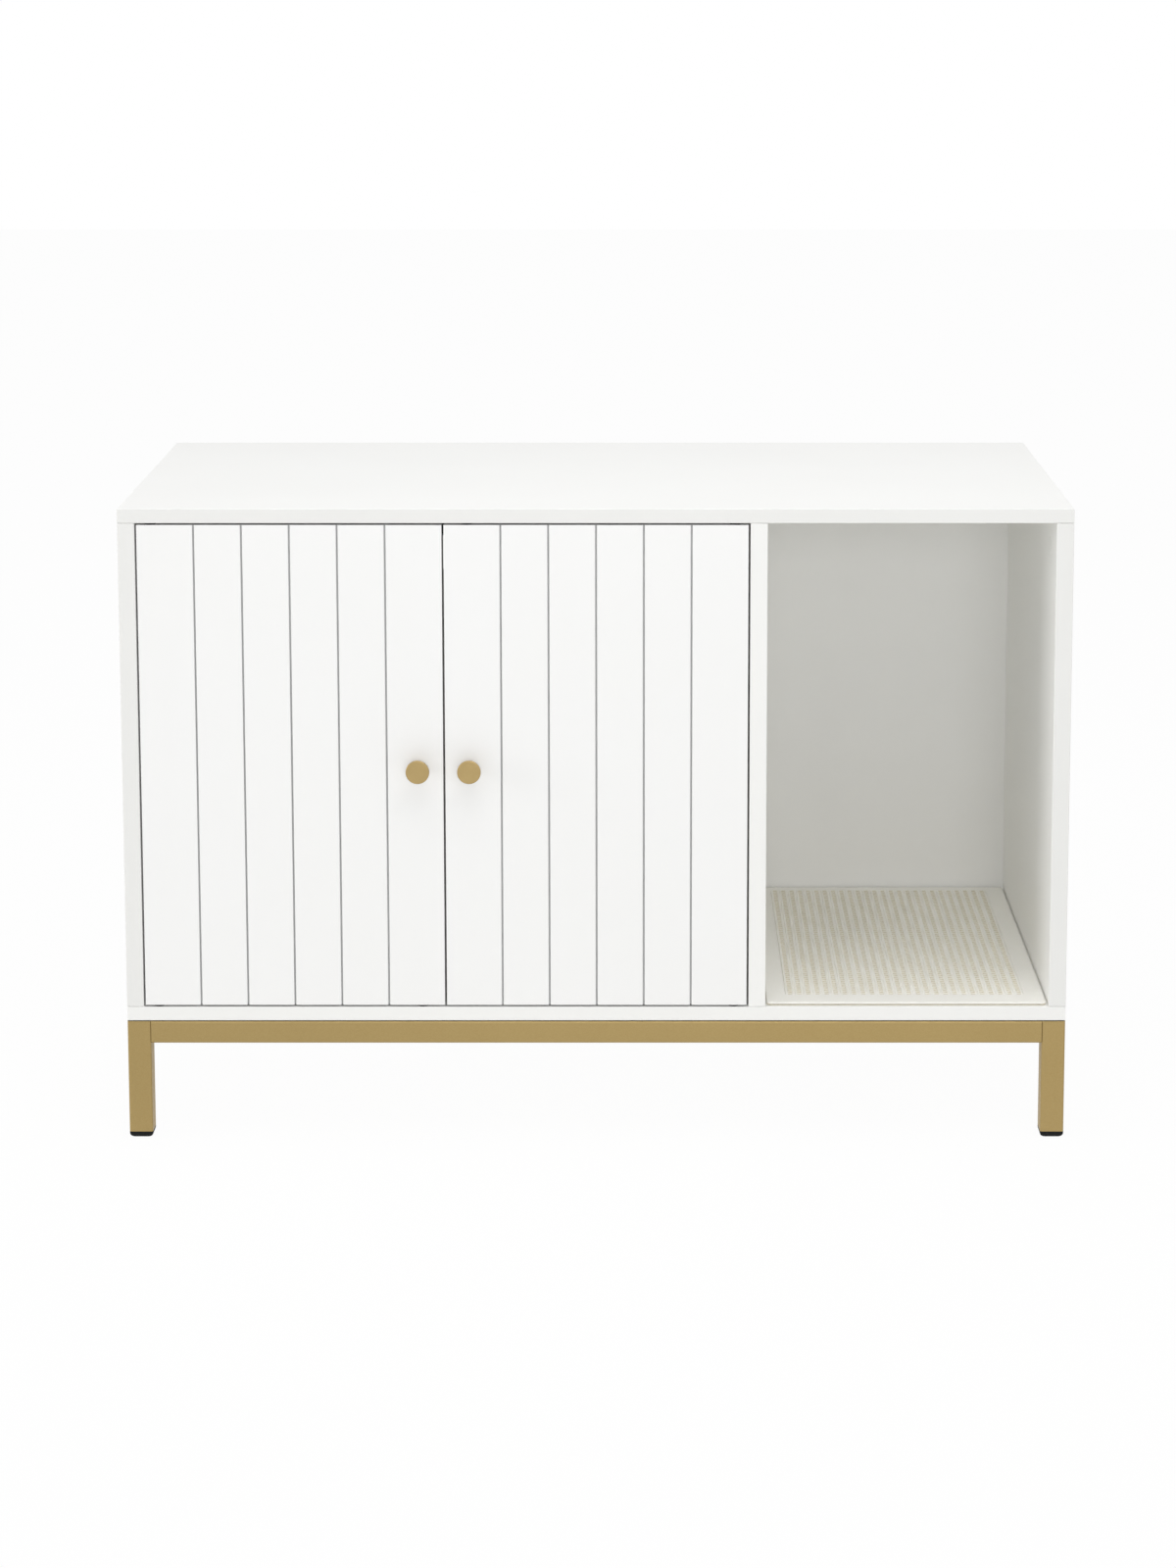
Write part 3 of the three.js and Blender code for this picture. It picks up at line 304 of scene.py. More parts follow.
# A greyer copy of the edge tape for the outer boards: painted shade, for edges that take less light
# than those of the divider and the bottom.
shaded_outer_tape = edge_band("painted_shade_edge_tape", "#ECECEA", "#E8E8E6")
hardboard = foiled_hardboard()
gold_paint = powder_coat()
gold_plate = turned_gold()
black_plastic = moulded_plastic()
rubber = soft_rubber()
zinc = zinc_plate()
# Cotton tape folded over the mat's edge, with threads drawn 1.5 mm apart so that they show.
hem_cotton = woven_cloth("cream_cotton_tape", "#FBFAF6", "#F4F2EA", 1.5, 0.1, (0, SQUARE))
# Soft two-ply cotton cord: the plies show as slanting marks across each rib, drawn 2.1 mm apart. No
# two spools of yarn have quite the same tone, so the rows drift in streaks.
rib_cotton = woven_cloth("cream_cotton_cord", "#FDFCF8", "#F2EFE4", 2.1, 0.15, (1.05, 1.0),
                         streaks=0.05, blotch=0.4)
# The jute and cotton ground between the ribs, woven square, with threads drawn 1.4 mm apart.
ground_cotton = woven_cloth("jute_ground_weave", "#EDE7D6", "#CFC6AC", 1.4, 0.15, (0, SQUARE),
                            streaks=0.05, blotch=0.4)
# Bleached jute yarn that crosses the channels as rungs. Its twist is drawn 1.2 mm apart.
jute = woven_cloth("bleached_jute_yarn", "#FAF8EF", "#E6E0CF", 1.2, 0.12, (0.7, 0.6),
                   streaks=0.2, blotch=0.4)


# ---- Mesh helpers --------------------------------------------------------------------------
def box_mesh(low, high):
    """A box between two corners."""
    low, high = Vector(low), Vector(high)
    bm = bmesh.new()
    size = Matrix.Diagonal((*(high - low), 1.0))
    bmesh.ops.create_cube(bm, size=1.0, matrix=Matrix.Translation((low + high) / 2) @ size)
    return bm


def swept_mesh(outline, sweep):
    """A prism: the outline's points, closed to a face and swept along a vector."""
    bm = bmesh.new()
    face = bm.faces.new([bm.verts.new(point) for point in outline])
    swept = bmesh.ops.extrude_face_region(bm, geom=[face])
    moved = [g for g in swept["geom"] if isinstance(g, bmesh.types.BMVert)]
    bmesh.ops.translate(bm, verts=moved, vec=sweep)
    bmesh.ops.recalc_face_normals(bm, faces=bm.faces)
    return bm


def turned_mesh(profile, place, sides=48, closed=False):
    """A piece turned about +Z from (radius, height) pairs in mm, then put in its place."""
    bm = bmesh.new()
    ring = [bm.verts.new((radius * MM, 0, height * MM)) for radius, height in profile]
    pairs = list(zip(ring, ring[1:])) + ([(ring[-1], ring[0])] if closed else [])
    edges = [bm.edges.new(pair) for pair in pairs]
    axis = {"cent": (0, 0, 0), "axis": (0, 0, 1), "dvec": (0, 0, 0)}
    bmesh.ops.spin(bm, geom=ring + edges, angle=math.tau, steps=sides, use_merge=True, **axis)
    bmesh.ops.remove_doubles(bm, verts=bm.verts, dist=NEAR)
    bmesh.ops.recalc_face_normals(bm, faces=bm.faces)
    own_radius = bm.verts.layers.float.new(TURNING_RADIUS)
    for v in bm.verts:
        v[own_radius] = math.hypot(v.co.x, v.co.y)
    bm.transform(place)
    return bm


def loose_object(name, bm):
    mesh = bpy.data.meshes.new(name)
    bm.to_mesh(mesh)
    bm.free()
    made = bpy.data.objects.new(name, mesh)
    bpy.context.scene.collection.objects.link(made)
    return made


def joined(meshes):
    """One bmesh that holds all the given ones."""
    whole = bmesh.new()
    for bm in meshes:
        part = bpy.data.meshes.new("part")
        bm.to_mesh(part)
        bm.free()
        whole.from_mesh(part)
        bpy.data.meshes.remove(part)
    return whole


def as_modified(made, *helpers):
    """The object's mesh as its modifiers leave it. The object and its helpers are cleared away."""
    seen = made.evaluated_get(bpy.context.evaluated_depsgraph_get())
    result = bmesh.new()
    result.from_mesh(seen.to_mesh())
    seen.to_mesh_clear()
    for done in (made, *helpers):
        mesh = done.data
        bpy.data.objects.remove(done)
        bpy.data.meshes.remove(mesh)
    return result


def cut(bm, cutters):
    """The mesh with the cutters' room taken out of it."""
    blank = loose_object("blank", bm)
    cutter = loose_object("cutter", joined(cutters))
    boolean = blank.modifiers.new("cut", "BOOLEAN")
    boolean.operation = "DIFFERENCE"
    boolean.solver = "EXACT"
    boolean.object = cutter
    result = as_modified(blank, cutter)
    bmesh.ops.remove_doubles(result, verts=result.verts, dist=NEAR)
    return result


def middle_of(low, high):
    return (Vector(low) + Vector(high)) / 2


SHARP_FROM = math.radians(30)  # edges that turn by more than this are creases


def piece(name, bm, body, materials, replaces=(), ease=0.0, steps=3):
    """Makes the mesh a piece of the cabinet. ease is the radius in mm of its softened edges."""
    made = loose_object(name, bm)
    for material in materials:
        made.data.materials.append(material)
    made.data.polygons.foreach_set("use_smooth", [True] * len(made.data.polygons))
    made.data.set_sharp_from_angle(angle=SHARP_FROM)
    if ease:
        bevel = made.modifiers.new("eased_edges", "BEVEL")
        bevel.width = ease * MM
        bevel.segments = steps
        bevel.limit_method = "ANGLE"
        bevel.angle_limit = SHARP_FROM
        bevel.miter_outer = "MITER_ARC"
    made.modifiers.new("flat_faces", "WEIGHTED_NORMAL").keep_sharp = True
    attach(made, body)
    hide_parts(*replaces)
    return made


# ---- Carcass -------------------------------------------------------------------------------
BOARD_EDGE = 0.5  # radius of the boards' eased edges, in mm
HAIRLINE = 0.3  # the dark line that shows between two boards that meet, in mm
COUNTERBORE = (5.3, 4.6)  # radius and depth of the screw holes under the bottom panel, in mm

bottom_low, bottom_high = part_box("bottom_panel")
top_low, top_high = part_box("top_panel")


def band_edges(bm, thin):
    """Gives the faces that close the board's edges the edge tape, which is the second material."""
    for face in bm.faces:
        if abs(face.normal[AXES[thin]]) < 0.5:
            face.material_index = 1


def make_top():
    bm = box_mesh(top_low, top_high)
    band_edges(bm, "z")
    return piece("top_board", bm, "cabinet", [melamine, shaded_outer_tape],
                 ["top_panel"], BOARD_EDGE)


def make_bottom():
    bm = box_mesh(bottom_low, bottom_high)
    radius, depth = COUNTERBORE
    profile = [(0, -OVER), (radius, -OVER), (radius, depth), (0, depth)]
    holes = []
    for side in SIDES:
        for end in ENDS:
            at = middle_of(*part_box(f"carcass_screw_{side}_{end}"))
            holes.append(turned_mesh(profile, Matrix.Translation((at.x, at.y, bottom_low.z))))
    bm = cut(bm, holes)
    band_edges(bm, "z")
    return piece("bottom_board", bm, "cabinet", [melamine, edge_tape],
                 ["bottom_panel"], BOARD_EDGE)


# The cat door, round above and with two rounded corners below. Its sill is the height above the
# bottom panel, and its middle lies behind that panel's front edge; all in mm.
CAT_DOOR = {"width": 200, "height": 240, "sill": 70, "corner": 30, "behind_front": 250}


def arc(centre, radius, start, end, steps):
    """Points of an arc in the YZ plane, angles in quarter turns."""
    turns = [SQUARE * (start + (end - start) * i / steps) for i in range(steps + 1)]
    return [(centre[0] + radius * math.cos(t), centre[1] + radius * math.sin(t)) for t in turns]


def cat_door_cutter(x_low, x_high):
    half = CAT_DOOR["width"] / 2 * MM
    corner = CAT_DOOR["corner"] * MM
    middle = bottom_low.y + CAT_DOOR["behind_front"] * MM
    sill = bottom_high.z + CAT_DOOR["sill"] * MM
    spring = sill + CAT_DOOR["height"] * MM - half
    outline = arc((middle + half - corner, sill + corner), corner, 3, 4, 8)
    outline += arc((middle, spring), half, 0, 2, 48)
    outline += arc((middle - half + corner, sill + corner), corner, 2, 3, 8)
    return swept_mesh([(x_low, y, z) for y, z in outline], (x_high - x_low, 0, 0))


def make_upright(name, node):
    low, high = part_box(node)
    hairline = HAIRLINE * MM
    bm = box_mesh((low.x, low.y, bottom_high.z + hairline), (high.x, high.y, top_low.z - hairline))
    if node == "divider_panel":
        bm = cut(bm, [cat_door_cutter(low.x - OVER * MM, high.x + OVER * MM)])
    band_edges(bm, "x")
    # The outer boards' edges take the greyer tape of painted shade.
    tape = edge_tape if node == "divider_panel" else shaded_outer_tape
    return piece(name, bm, "cabinet", [melamine, tape], [node], BOARD_EDGE)


# White domed caps hide the cams in the uprights' inner faces.
CAM_RADIUS = 7.5
CAP_RADIUS, CAP_THICKNESS = 9.5, 0.6
DOME = CAP_RADIUS * 0.8
CAP_PROFILE = [(0, 0), (CAP_RADIUS, 0), (CAP_RADIUS, CAP_THICKNESS * 0.6)]
CAP_PROFILE += [(DOME, CAP_THICKNESS), (0, CAP_THICKNESS)]


def make_cam_caps():
    for side in SIDES:
        for end in ENDS:
            low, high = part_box(f"cam_fitting_{side}_{end}")
            panel = "divider_panel" if side == "divider" else f"{side}_side_panel"
            wall_low, wall_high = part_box(panel)
            faces_right = side == "left"
            x = wall_high.x if faces_right else wall_low.x
            cam_z = low.z + CAM_RADIUS * MM
            turn = Matrix.Rotation(SQUARE if faces_right else -SQUARE, 4, "Y")
            place = Matrix.Translation((x, (low.y + high.y) / 2, cam_z)) @ turn
            cap = turned_mesh(CAP_PROFILE, place)
            piece(f"cam_cap_{side}_{end}", cap, "cabinet", [edge_tape],
                  ease=FINE_EDGE)


# ---- Doors ---------------------------------------------------------------------------------
DOOR_EDGE = 0.4  # radius of the doors' eased edges, in mm
GROOVES, GROOVE_PITCH = 5, 50
# Each plank line is a V with a narrow slot below it: half widths and depths of its corners, in mm.
GROOVE_MOUTH = 1.5
GROOVE_PROFILE = [(-GROOVE_MOUTH, 0), (-0.8, 0.7), (-0.75, 3.6), (0.75, 3.6), (0.8, 0.7)]
GROOVE_PROFILE += [(GROOVE_MOUTH, 0)]
GROOVE_LIP = 0.8  # the V ends above this depth, in mm


def groove_cutter(x, low, high):
    """The room of one plank line, past the door's front and both ends."""
    over = OVER * MM
    profile = [(-GROOVE_MOUTH, -OVER)] + GROOVE_PROFILE + [(GROOVE_MOUTH, -OVER)]
    outline = [(x + across * MM, low.y + depth * MM, low.z - over) for across, depth in profile]
    return swept_mesh(outline, (0, 0, high.z - low.z + 2 * over))


def make_door(side):
    """A plank-grooved door. Its slots and its edges have the grey of painted shade."""
    low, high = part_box(f"{side}_door")
    bm = box_mesh(low, high)
    middle = (low.x + high.x) / 2
    middles = [middle + (i - (GROOVES - 1) / 2) * GROOVE_PITCH * MM for i in range(GROOVES)]
    grooves = [groove_cutter(x, low, high) for x in middles]
    bm = cut(bm, grooves)
    # Faces below the V's lip, other than the back, take the painted shade grey.
    for face in bm.faces:
        deep = face.calc_center_median().y > low.y + GROOVE_LIP * MM
        on_back = face.normal.y > 0.5
        if deep and not on_back:
            face.material_index = 1
    return piece(f"{side}_door_leaf", bm, f"{side}_door", [lacquer, painted_shade_grey],
                 [f"{side}_door"], DOOR_EDGE)


KNOB_PROFILE = [(0, 0), (6.5, 0), (6.5, 1.6), (4.5, 2.6), (4.5, 19.4), (6.0, 20.5)]
KNOB_PROFILE += [(12.4, 20.5), (12.4, 24), (0, 24)]
KNOB_EDGE = 0.6
FACING_FRONT = Matrix.Rotation(SQUARE, 4, "X")  # turns +Z to -Y


def make_knob(side):
    low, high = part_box(f"{side}_knob")
    middle = middle_of(low, high)
    place = Matrix.Translation((middle.x, high.y, middle.z)) @ FACING_FRONT
    knob = turned_mesh(KNOB_PROFILE, place, sides=96)
    return piece(f"{side}_door_knob", knob, f"{side}_door", [gold_plate],
                 [f"{side}_knob"], KNOB_EDGE, 4)


# ---- Screws --------------------------------------------------------------------------------
# All sizes in mm; a head is its radius and height.
RECESS_WIDTH, RECESS_LENGTH, RECESS_DEPTH, RECESS_TAPER = 0.9, 4.4, 1.5, 0.4
PAN_HEAD, KNOB_SCREW_HEAD, CONFIRMAT_HEAD = (4.0, 2.2), (4.0, 2.4), (5.0, 4.0)
SCREW_SHANK, CONFIRMAT_SHANK = 2.0, 3.0
KNOB_SCREW_LENGTH, STOP_SCREW_LENGTH, FRAME_SCREW_LENGTH = 23, 24, 36
HEXAGON_PROFILE = [(0, -2.6), (2.3, -2.2), (2.3, 1), (0, 1)]


def cross_bar(top, turn):
    """The room of one arm of a cross recess, narrowing downwards."""
    low = (-RECESS_LENGTH / 2 * MM, -RECESS_WIDTH / 2 * MM, -RECESS_DEPTH * MM)
    bar = box_mesh(low, (RECESS_LENGTH / 2 * MM, RECESS_WIDTH / 2 * MM, MM))
    for v in bar.verts:
        if v.co.z < 0:
            v.co.x *= RECESS_TAPER
    bar.transform(top @ Matrix.Rotation(turn, 4, "Z"))
    return bar


def make_pan_screw(name, node, body, head_at, shank_along, length, head=PAN_HEAD):
    """A pan-headed screw; head_at is the point under its head, in metres."""
    radius, height = head
    to_head = Vector(shank_along).to_track_quat("-Z", "Y").to_matrix().to_4x4()
    place = Matrix.Translation(head_at) @ to_head
    shank = SCREW_SHANK
    profile = [(0, -length), (shank, -length + shank), (shank, 0), (radius, 0)]
    profile += [(radius, height * 0.45), (radius * 0.72, height * 0.92), (0, height)]
    screw = turned_mesh(profile, Matrix.Identity(4), sides=32)
    top = Matrix.Translation((0, 0, height * MM))
    for turn in (0, SQUARE):
        screw = cut(screw, [cross_bar(top, turn)])
    screw.transform(place)
    return piece(name, screw, body, [zinc], [node], FINE_EDGE, 2)


def make_knob_screw(side):
    low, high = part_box(f"{side}_knob_screw")
    door_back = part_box(f"{side}_door")[1].y
    middle = middle_of(low, high)
    make_pan_screw(f"{side}_knob_machine_screw", f"{side}_knob_screw", f"{side}_door",
                   (middle.x, door_back, middle.z), (0, -1, 0), KNOB_SCREW_LENGTH,
                   KNOB_SCREW_HEAD)


def make_upward_screw(name, node, length):
    """A pan-headed screw whose point is at the top of its node."""
    low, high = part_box(node)
    middle = middle_of(low, high)
    under_head = high.z - length * MM
    make_pan_screw(name, node, "cabinet", (middle.x, middle.y, under_head), (0, 0, 1), length)


def make_confirmat(side, end):
    """A carcass screw: its head, with a hexagon socket, is sunk in the bottom panel."""
    node = f"carcass_screw_{side}_{end}"
    low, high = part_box(node)
    middle = middle_of(low, high)
    upside_down = Matrix.Translation((middle.x, middle.y, low.z)) @ Matrix.Rotation(math.pi, 4, "X")
    length = (high.z - low.z) / MM
    radius, height = CONFIRMAT_HEAD
    shank = CONFIRMAT_SHANK
    profile = [(0, -length), (shank, -length + shank), (shank, -height), (radius, -height)]
    profile += [(radius, 0), (0, 0)]
    screw = turned_mesh(profile, Matrix.Identity(4), sides=32)
    socket = turned_mesh(HEXAGON_PROFILE, Matrix.Identity(4), sides=6)
    screw = cut(screw, [socket])
    screw.transform(upside_down)
    piece(f"confirmat_{side}_{end}", screw, "cabinet", [zinc], [node], 0.2, 2)


# ---- Door hardware -------------------------------------------------------------------------
def upright_place(node, from_top):
    """The node's middle at its lower end, or upside down at its upper end."""
    low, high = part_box(node)
    middle = middle_of(low, high)
    if from_top:
        turn = Matrix.Rotation(math.pi, 4, "X")
        return Matrix.Translation((middle.x, middle.y, high.z)) @ turn
    return Matrix.Translation((middle.x, middle.y, low.z))


# Radii and heights in mm, from the end that each piece is placed by.
BUSH_PROFILE = [(2.8, 0), (5.75, 0), (5.75, 1.7), (4.5, 1.7), (4.5, 9.7), (2.8, 9.7)]
PIN_PROFILE = [(0, 0), (2.5, 0), (2.5, 17.4), (1.9, 18), (0, 18)]
MAGNET_PROFILE = [(0, 0), (5, 0), (5, 10), (5.75, 10), (5.75, 11.2), (3.6, 11.2), (3.2, 10.9)]
MAGNET_PROFILE += [(0, 10.9)]
STRIKE_PROFILE = [(0, 0), (5, 0), (5, 1.5), (0, 1.5)]
STOP_PAD_PROFILE = [(0, 0), (4, 0), (4, 1.1), (2.8, 1.6), (0, 1.6)]
STOP_EDGE = 1.0


def make_door_hardware(side, catch_at_top):
    door = f"{side}_door"
    for end in ("top", "bottom"):
        at_top = end == "top"
        bush = f"{side}_bush_{end}"
        bush_mesh = turned_mesh(BUSH_PROFILE, upright_place(bush, at_top), closed=True)
        piece(f"{side}_pivot_bush_{end}", bush_mesh, door, [black_plastic],
              [bush], 0.2, 2)
        pin = f"{side}_pin_{end}"
        pin_mesh = turned_mesh(PIN_PROFILE, upright_place(pin, at_top), sides=32)
        piece(f"{side}_pivot_pin_{end}", pin_mesh, "cabinet", [zinc], [pin],
              FINE_EDGE, 2)
    magnet = f"{side}_catch_magnet"
    magnet_mesh = turned_mesh(MAGNET_PROFILE, upright_place(magnet, catch_at_top))
    piece(f"{side}_magnet_catch", magnet_mesh, "cabinet", [black_plastic],
          [magnet], FINE_EDGE, 2)
    strike = f"{side}_catch_strike"
    strike_mesh = turned_mesh(STRIKE_PROFILE, upright_place(strike, catch_at_top))
    piece(f"{side}_strike_plate", strike_mesh, door, [zinc], [strike],
          FINE_EDGE, 2)


def make_door_stop():
    low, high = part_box("door_stop")
    block = box_mesh(low, high)
    piece("door_stop_block", block, "cabinet", [black_plastic], ["door_stop"],
          STOP_EDGE, 3)
    for side in ("left", "right"):
        low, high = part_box(f"{side}_bumper")
        middle = middle_of(low, high)
        place = Matrix.Translation((middle.x, high.y, middle.z)) @ FACING_FRONT
        pad = turned_mesh(STOP_PAD_PROFILE, place, sides=32)
        piece(f"{side}_stop_pad", pad, "cabinet", [rubber], [f"{side}_bumper"],
              0.3, 2)
    make_upward_screw("stop_wood_screw", "door_stop_screw", STOP_SCREW_LENGTH)


# ---- Base frame ----------------------------------------------------------------------------
TUBE_CORNER, TUBE_WALL = 1.8, 1.5  # outer corner radius and wall, in mm
SEAT_LINE = 0.9  # the dark line that shows between the tubes and the bottom panel, in mm
SOLE_ROUNDING = 5.2
# The foot's plug and the ribs round it: half widths, and heights above the ground, in mm.
PLUG_HALF, PLUG_BOTTOM, PLUG_TOP = 7.0, 7.0, 22.0
PLUG_RIB_HALF, PLUG_RIB_THICKNESS = 10.7, 1.4
PLUG_RIB_HEIGHTS = (9.5, 14.5, 19.5)


def rounded_bar(low, high, along, radius, steps):
    """A box whose four edges along one axis are rounded; radius in mm."""
    bm = box_mesh(low, high)
    axis = AXES[along]
    long_edges = []
    for edge in bm.edges:
        run = edge.verts[0].co - edge.verts[1].co
        if abs(run[axis]) > 0.9 * run.length:
            long_edges.append(edge)
    bmesh.ops.bevel(bm, geom=long_edges, affect="EDGES", offset=radius * MM, segments=steps,
                    profile=0.5, material=-1)
    return bm


def make_tube(name, node, along):
    """A square tube, open at both ends, whose wall is thickened inwards."""
    low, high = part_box(node)
    high.z = min(high.z, bottom_low.z - SEAT_LINE * MM)
    bm = rounded_bar(low, high, along, TUBE_CORNER, 5)
    ends = [f for f in bm.faces if abs(f.normal[AXES[along]]) > 0.9]
    bmesh.ops.delete(bm, geom=ends, context="FACES_ONLY")
    made = loose_object(name, bm)
    wall = made.modifiers.new("tube_wall", "SOLIDIFY")
    wall.thickness = TUBE_WALL * MM
    wall.offset = -1
    wall.use_even_offset = True
    return piece(name, as_modified(made), "cabinet", [gold_paint], [node])


def on_one_corner(edge, middle):
    """True for an edge that runs down one upright corner of a square bar about the middle."""
    ends = [v.co - middle for v in edge.verts]
    diagonal = all(abs(abs(end.x) - abs(end.y)) < NEAR for end in ends)
    return diagonal and ends[0].x * ends[1].x > 0 and ends[0].y * ends[1].y > 0


def make_foot(corner):
    """A black cap with a rounded sole; its ribbed plug grips the inside of the leg."""
    low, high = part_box(f"foot_{corner}")
    leg_low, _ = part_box(f"leg_{corner}")
    middle = middle_of(low, high)
    cap = box_mesh(low, (high.x, high.y, leg_low.z))
    sole = [e for e in cap.edges if all(abs(v.co.z - low.z) < NEAR for v in e.verts)]
    bmesh.ops.bevel(cap, geom=sole, affect="EDGES", offset=SOLE_ROUNDING * MM, segments=7,
                    profile=0.5, material=-1)
    corners = [e for e in cap.edges if on_one_corner(e, middle)]
    bmesh.ops.bevel(cap, geom=corners, affect="EDGES", offset=TUBE_CORNER * MM, segments=5,
                    profile=0.5, material=-1)
    levels = [(PLUG_HALF, PLUG_BOTTOM, PLUG_TOP)]
    half_rib = PLUG_RIB_THICKNESS / 2
    levels += [(PLUG_RIB_HALF, z - half_rib, z + half_rib) for z in PLUG_RIB_HEIGHTS]
    parts = [cap]
    for half, bottom, top in levels:
        corner_low = (middle.x - half * MM, middle.y - half * MM, bottom * MM)
        parts.append(box_mesh(corner_low, (middle.x + half * MM, middle.y + half * MM, top * MM)))
    return piece(f"foot_cap_{corner}", joined(parts), "cabinet",
                 [black_plastic], [f"foot_{corner}"])


# ---- Scratch mat ---------------------------------------------------------------------------
# All sizes in mm. The heights are above the mat's underside.
BACKING_TOP, CHANNEL_FLOOR, HEM_FOOT, HEM_TOP = 1.9, 2.8, 0.05, 3.2
BACKING_EDGE, HEM_EDGE = 0.4, 1.1  # radii of the softened edges
MAT_CORNER = 5.0
HEM_SIDE, HEM_FRONT, HEM_REAR = 21, 30, 15  # widths of the hem tape
FIELD_OVERLAP = 1.5  # how far the ribbed field runs under the hem in front and behind
RIB_PITCH = 9.8  # a channel and the pair of cords of a rib, before the ribs are spread evenly
CHANNEL_WIDTH = 4.1
RIB_RISE = 0.95  # height of the cords above the channels
RIB_SWAY, RIB_SWELL = 0.12, 0.05  # how far a cord strays sideways, and its share of thickening
SAMPLES_PER_RIB = 18  # points of the mesh across one rib and its channel
ROW_LENGTH = 6.0  # from point to point along a rib
RUNG_PITCH, RUNG_WIDTH, RUNG_SLANT = 7.8, 3.5, 1.6
RUNG_TUCK = 0.5  # how much longer a rung is than its channel is wide
RUNG_LIFT, RUNG_FLATNESS = 0.1, 0.4


def off_rib(x, pitch, ribs):
    """How far x, taken from the field's middle, is from the middle of the nearest rib."""
    return abs((x / pitch + ribs / 2 + 0.5) % 1.0 - 0.5) * pitch


def make_field(low, high, floor, pitch, ribs):
    """The ribs, each a pair of cotton cords, with the ground weave in the channels between."""
    centre = Vector(((low[0] + high[0]) / 2, (low[1] + high[1]) / 2, floor))
    width = high[0] - low[0]
    length = high[1] - low[1] + 2 * FIELD_OVERLAP * MM
    cord = (pitch - CHANNEL_WIDTH * MM) / 4  # the radius of one cord
    columns, rows = ribs * SAMPLES_PER_RIB, round(length / (ROW_LENGTH * MM))
    bm = bmesh.new()
    bmesh.ops.create_grid(bm, x_segments=columns, y_segments=rows, size=0.5)
    for v in bm.verts:
        x = v.co.x * width
        y = v.co.y * length
        crest = math.sqrt(max(0.0, 1 - (off_rib(x, pitch, ribs) / cord - 1) ** 2))
        if abs(y) > length / 2 - NEAR:
            crest = 0.0  # the cords dip under the hem at both ends
        sway = RIB_SWAY * MM * math.sin(y / (23 * MM) + 5 * math.sin(x / (31 * MM)))
        swell = 1 + RIB_SWELL * math.sin(y / (9 * MM) + x / (4 * MM))
        height = (CHANNEL_FLOOR + RIB_RISE * crest * swell) * MM
        v.co = centre + Vector((x + sway * crest, y, height))
    for face in bm.faces:
        if off_rib(face.calc_center_median().x - centre.x, pitch, ribs) > 2 * cord:
            face.material_index = 1
    return piece("mat_ribbed_field", bm, "cabinet", [rib_cotton, ground_cotton])


def repeated(made, name, step, count):
    array = made.modifiers.new(name, "ARRAY")
    array.use_relative_offset = False
    array.use_constant_offset = True
    array.constant_offset_displace = step
    array.count = count


def make_rungs(low, high, floor, pitch, ribs):
    """Yarn rungs across each channel: a pair that slants to and fro, repeated along Y and X."""
    run = (CHANNEL_WIDTH + RUNG_TUCK) * MM
    yarn = {"radius1": RUNG_WIDTH / 2 * MM, "radius2": RUNG_WIDTH / 2 * MM}
    yarn["depth"] = math.hypot(run, RUNG_SLANT * MM)
    bm = bmesh.new()
    for turn, way in enumerate((-1, 1)):
        rung = bmesh.ops.create_cone(bm, cap_ends=True, segments=6, **yarn)["verts"]
        lean = math.atan2(RUNG_SLANT * MM, run) * way
        lay = Matrix.Rotation(lean, 4, "Z") @ Matrix.Rotation(SQUARE, 4, "Y")
        along = Matrix.Translation((0, turn * RUNG_PITCH * MM, 0))
        bmesh.ops.transform(bm, matrix=along @ lay, verts=rung)
    first = (low[0] + high[0]) / 2 - pitch * (ribs - 1) / 2
    start = low[1] + RUNG_PITCH / 2 * MM
    place = Matrix.Translation((first, start, floor + (CHANNEL_FLOOR + RUNG_LIFT) * MM))
    bm.transform(place @ Matrix.Diagonal((1, 1, RUNG_FLATNESS, 1)))
    made = piece("mat_jute_rungs", bm, "cabinet", [jute])
    pair_length = 2 * RUNG_PITCH * MM
    repeated(made, "along", (0, pair_length, 0), int((high[1] - low[1]) / pair_length))
    repeated(made, "across", (pitch, 0, 0), ribs)
    return made


def make_mat():
    """A woven backing laid on the bottom board, with the field, the hem and the rungs on it."""
    low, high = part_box("scratch_mat")
    floor = low.z
    inner_low = (low.x + HEM_SIDE * MM, low.y + HEM_FRONT * MM)
    inner_high = (high.x - HEM_SIDE * MM, high.y - HEM_REAR * MM)
    ribs = round((inner_high[0] - inner_low[0]) / (RIB_PITCH * MM))
    pitch = (inner_high[0] - inner_low[0]) / ribs
    field = make_field(inner_low, inner_high, floor, pitch, ribs)

    backing = rounded_bar((low.x, low.y, floor), (high.x, high.y, floor + BACKING_TOP * MM),
                          "z", MAT_CORNER, 6)
    sheet = piece("mat_backing", backing, "cabinet", [ground_cotton],
                  ["scratch_mat"], BACKING_EDGE, 2)

    outer = rounded_bar((low.x, low.y, floor + HEM_FOOT * MM),
                        (high.x, high.y, floor + HEM_TOP * MM), "z", MAT_CORNER, 6)
    window = box_mesh((*inner_low, floor - OVER * MM), (*inner_high, floor + 2 * OVER * MM))
    hem = piece("mat_hem_tape", cut(outer, [window]), "cabinet", [hem_cotton],
                ease=HEM_EDGE, steps=4)

    rungs = make_rungs(inner_low, inner_high, floor, pitch, ribs)
    return sheet


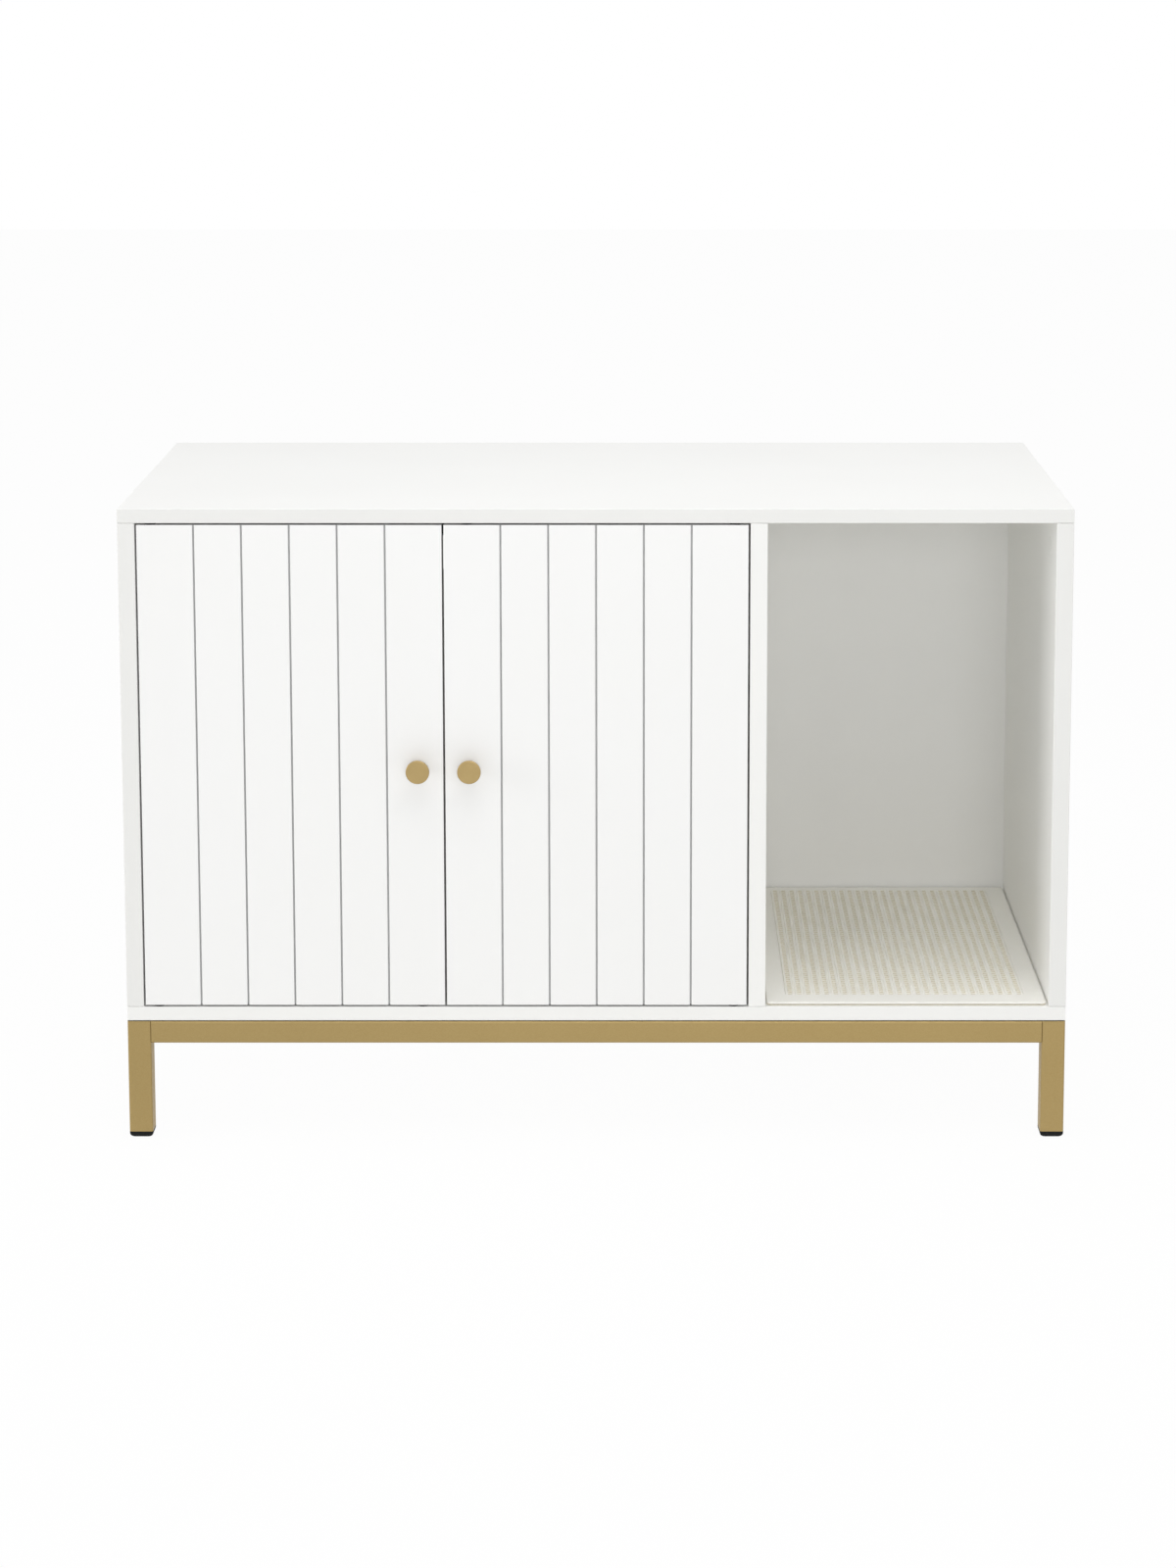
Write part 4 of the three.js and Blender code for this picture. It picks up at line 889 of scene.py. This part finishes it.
# ---- The whole cabinet ---------------------------------------------------------------------
make_top()
make_bottom()
make_upright("left_side_board", "left_side_panel")
make_upright("divider_board", "divider_panel")
make_upright("right_side_board", "right_side_panel")
make_cam_caps()
for side_name, catch_up in (("left", False), ("right", True)):
    make_door(side_name)
    make_knob(side_name)
    make_knob_screw(side_name)
    make_door_hardware(side_name, catch_up)
make_door_stop()
for upright_name in SIDES:
    for end_name in ENDS:
        make_confirmat(upright_name, end_name)
for corner_name in CORNERS:
    make_tube(f"tube_leg_{corner_name}", f"leg_{corner_name}", "z")
    make_foot(corner_name)
    make_upward_screw(f"frame_wood_screw_{corner_name}", f"frame_screw_{corner_name}",
                      FRAME_SCREW_LENGTH)
for rail, run_axis in RAILS.items():
    make_tube(f"tube_rail_{rail}", f"rail_{rail}", run_axis)
make_mat()


def carried_over(nodes, material):
    """Gives CAD nodes that stay in sight their finish."""
    for name in nodes:
        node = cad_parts[name]
        node.data.materials.clear()
        node.data.materials.append(material)


carried_over(["back_panel_litter", "back_panel_bay"], hardboard)
carried_over([f"cam_fitting_{side}_{end}" for side in SIDES for end in ENDS], zinc)


# ---- Floor and light -----------------------------------------------------------------------
def seen_directly(tree):
    """1 for a ray that shows the surface itself, in a mirror or in the picture, and 0 for light."""
    path = add_node(tree, "ShaderNodeLightPath")
    gloss = {0: path.outputs["Is Camera Ray"], 1: path.outputs["Is Glossy Ray"]}
    total = add_node(tree, "ShaderNodeMath", gloss, operation="MAXIMUM").outputs[0]
    clear = {0: total, 1: path.outputs["Is Transmission Ray"]}
    return add_node(tree, "ShaderNodeMath", clear, operation="MAXIMUM").outputs[0]


FLOOR_WHITE = 0.965  # the share of plain white in the floor that is seen directly
FLOOR_SIZE = 12  # its half width, in m
FLOOR_DROP = 0.2  # how far it lies below the feet, in mm, so that their soles stay clear of it


def make_floor():
    # A plain pale floor that shows white and keeps a faint shadow of the cabinet.
    material = bpy.data.materials.new("pale_floor")
    material.use_nodes = True
    tree = material.node_tree
    tree.nodes.clear()
    matt = add_node(tree, "ShaderNodeBsdfDiffuse", {"Color": linear("#F2F2F0")}).outputs[0]
    white = add_node(tree, "ShaderNodeEmission", {"Color": (1, 1, 1, 1), "Strength": 1.0}).outputs[0]
    share = {0: seen_directly(tree), 1: FLOOR_WHITE}
    factor = add_node(tree, "ShaderNodeMath", share, operation="MULTIPLY").outputs[0]
    mix = add_node(tree, "ShaderNodeMixShader", {0: factor, 1: matt, 2: white}).outputs[0]
    add_node(tree, "ShaderNodeOutputMaterial", {"Surface": mix})
    bm = bmesh.new()
    bmesh.ops.create_grid(bm, x_segments=1, y_segments=1, size=FLOOR_SIZE)
    floor = loose_object("floor", bm)
    floor.location.z = -FLOOR_DROP * MM
    floor.data.materials.append(material)


def make_world(level):
    """A white studio that lights the cabinet at the given level and shows white itself."""
    world = bpy.data.worlds.new("soft_white_studio")
    bpy.context.scene.world = world
    world.use_nodes = True
    tree = world.node_tree
    tree.nodes.clear()
    strength = {"Value": seen_directly(tree), "To Min": level, "To Max": 1.0}
    shown = add_node(tree, "ShaderNodeMapRange", strength).outputs["Result"]
    background = {"Color": (1, 1, 1, 1), "Strength": shown}
    sky = add_node(tree, "ShaderNodeBackground", background).outputs[0]
    add_node(tree, "ShaderNodeOutputWorld", {"Surface": sky})


def soft_lamp(name, place, size, power):
    """A square soft box that faces the cabinet's middle. place and size in m, power in W."""
    data = bpy.data.lights.new(name, "AREA")
    data.shape = "SQUARE"
    data.size = size
    data.energy = power
    lamp = bpy.data.objects.new(name, data)
    lamp.location = place
    target = Vector((0, 0, 0.35))
    lamp.rotation_euler = (target - Vector(place)).to_track_quat("-Z", "Y").to_euler()
    bpy.context.scene.collection.objects.link(lamp)


make_floor()
make_world(0.5)
soft_lamp("front_box", (0.45, -5.4, 1.3), 1.4, 50)
soft_lamp("left_box", (-5.2, -1.3, 1.2), 2.6, 88)
soft_lamp("overhead_box", (0.2, -0.9, 3.0), 2.5, 39)
# White walls light each other again and again, so light is followed through many of them.
bpy.context.scene.cycles.diffuse_bounces = 12
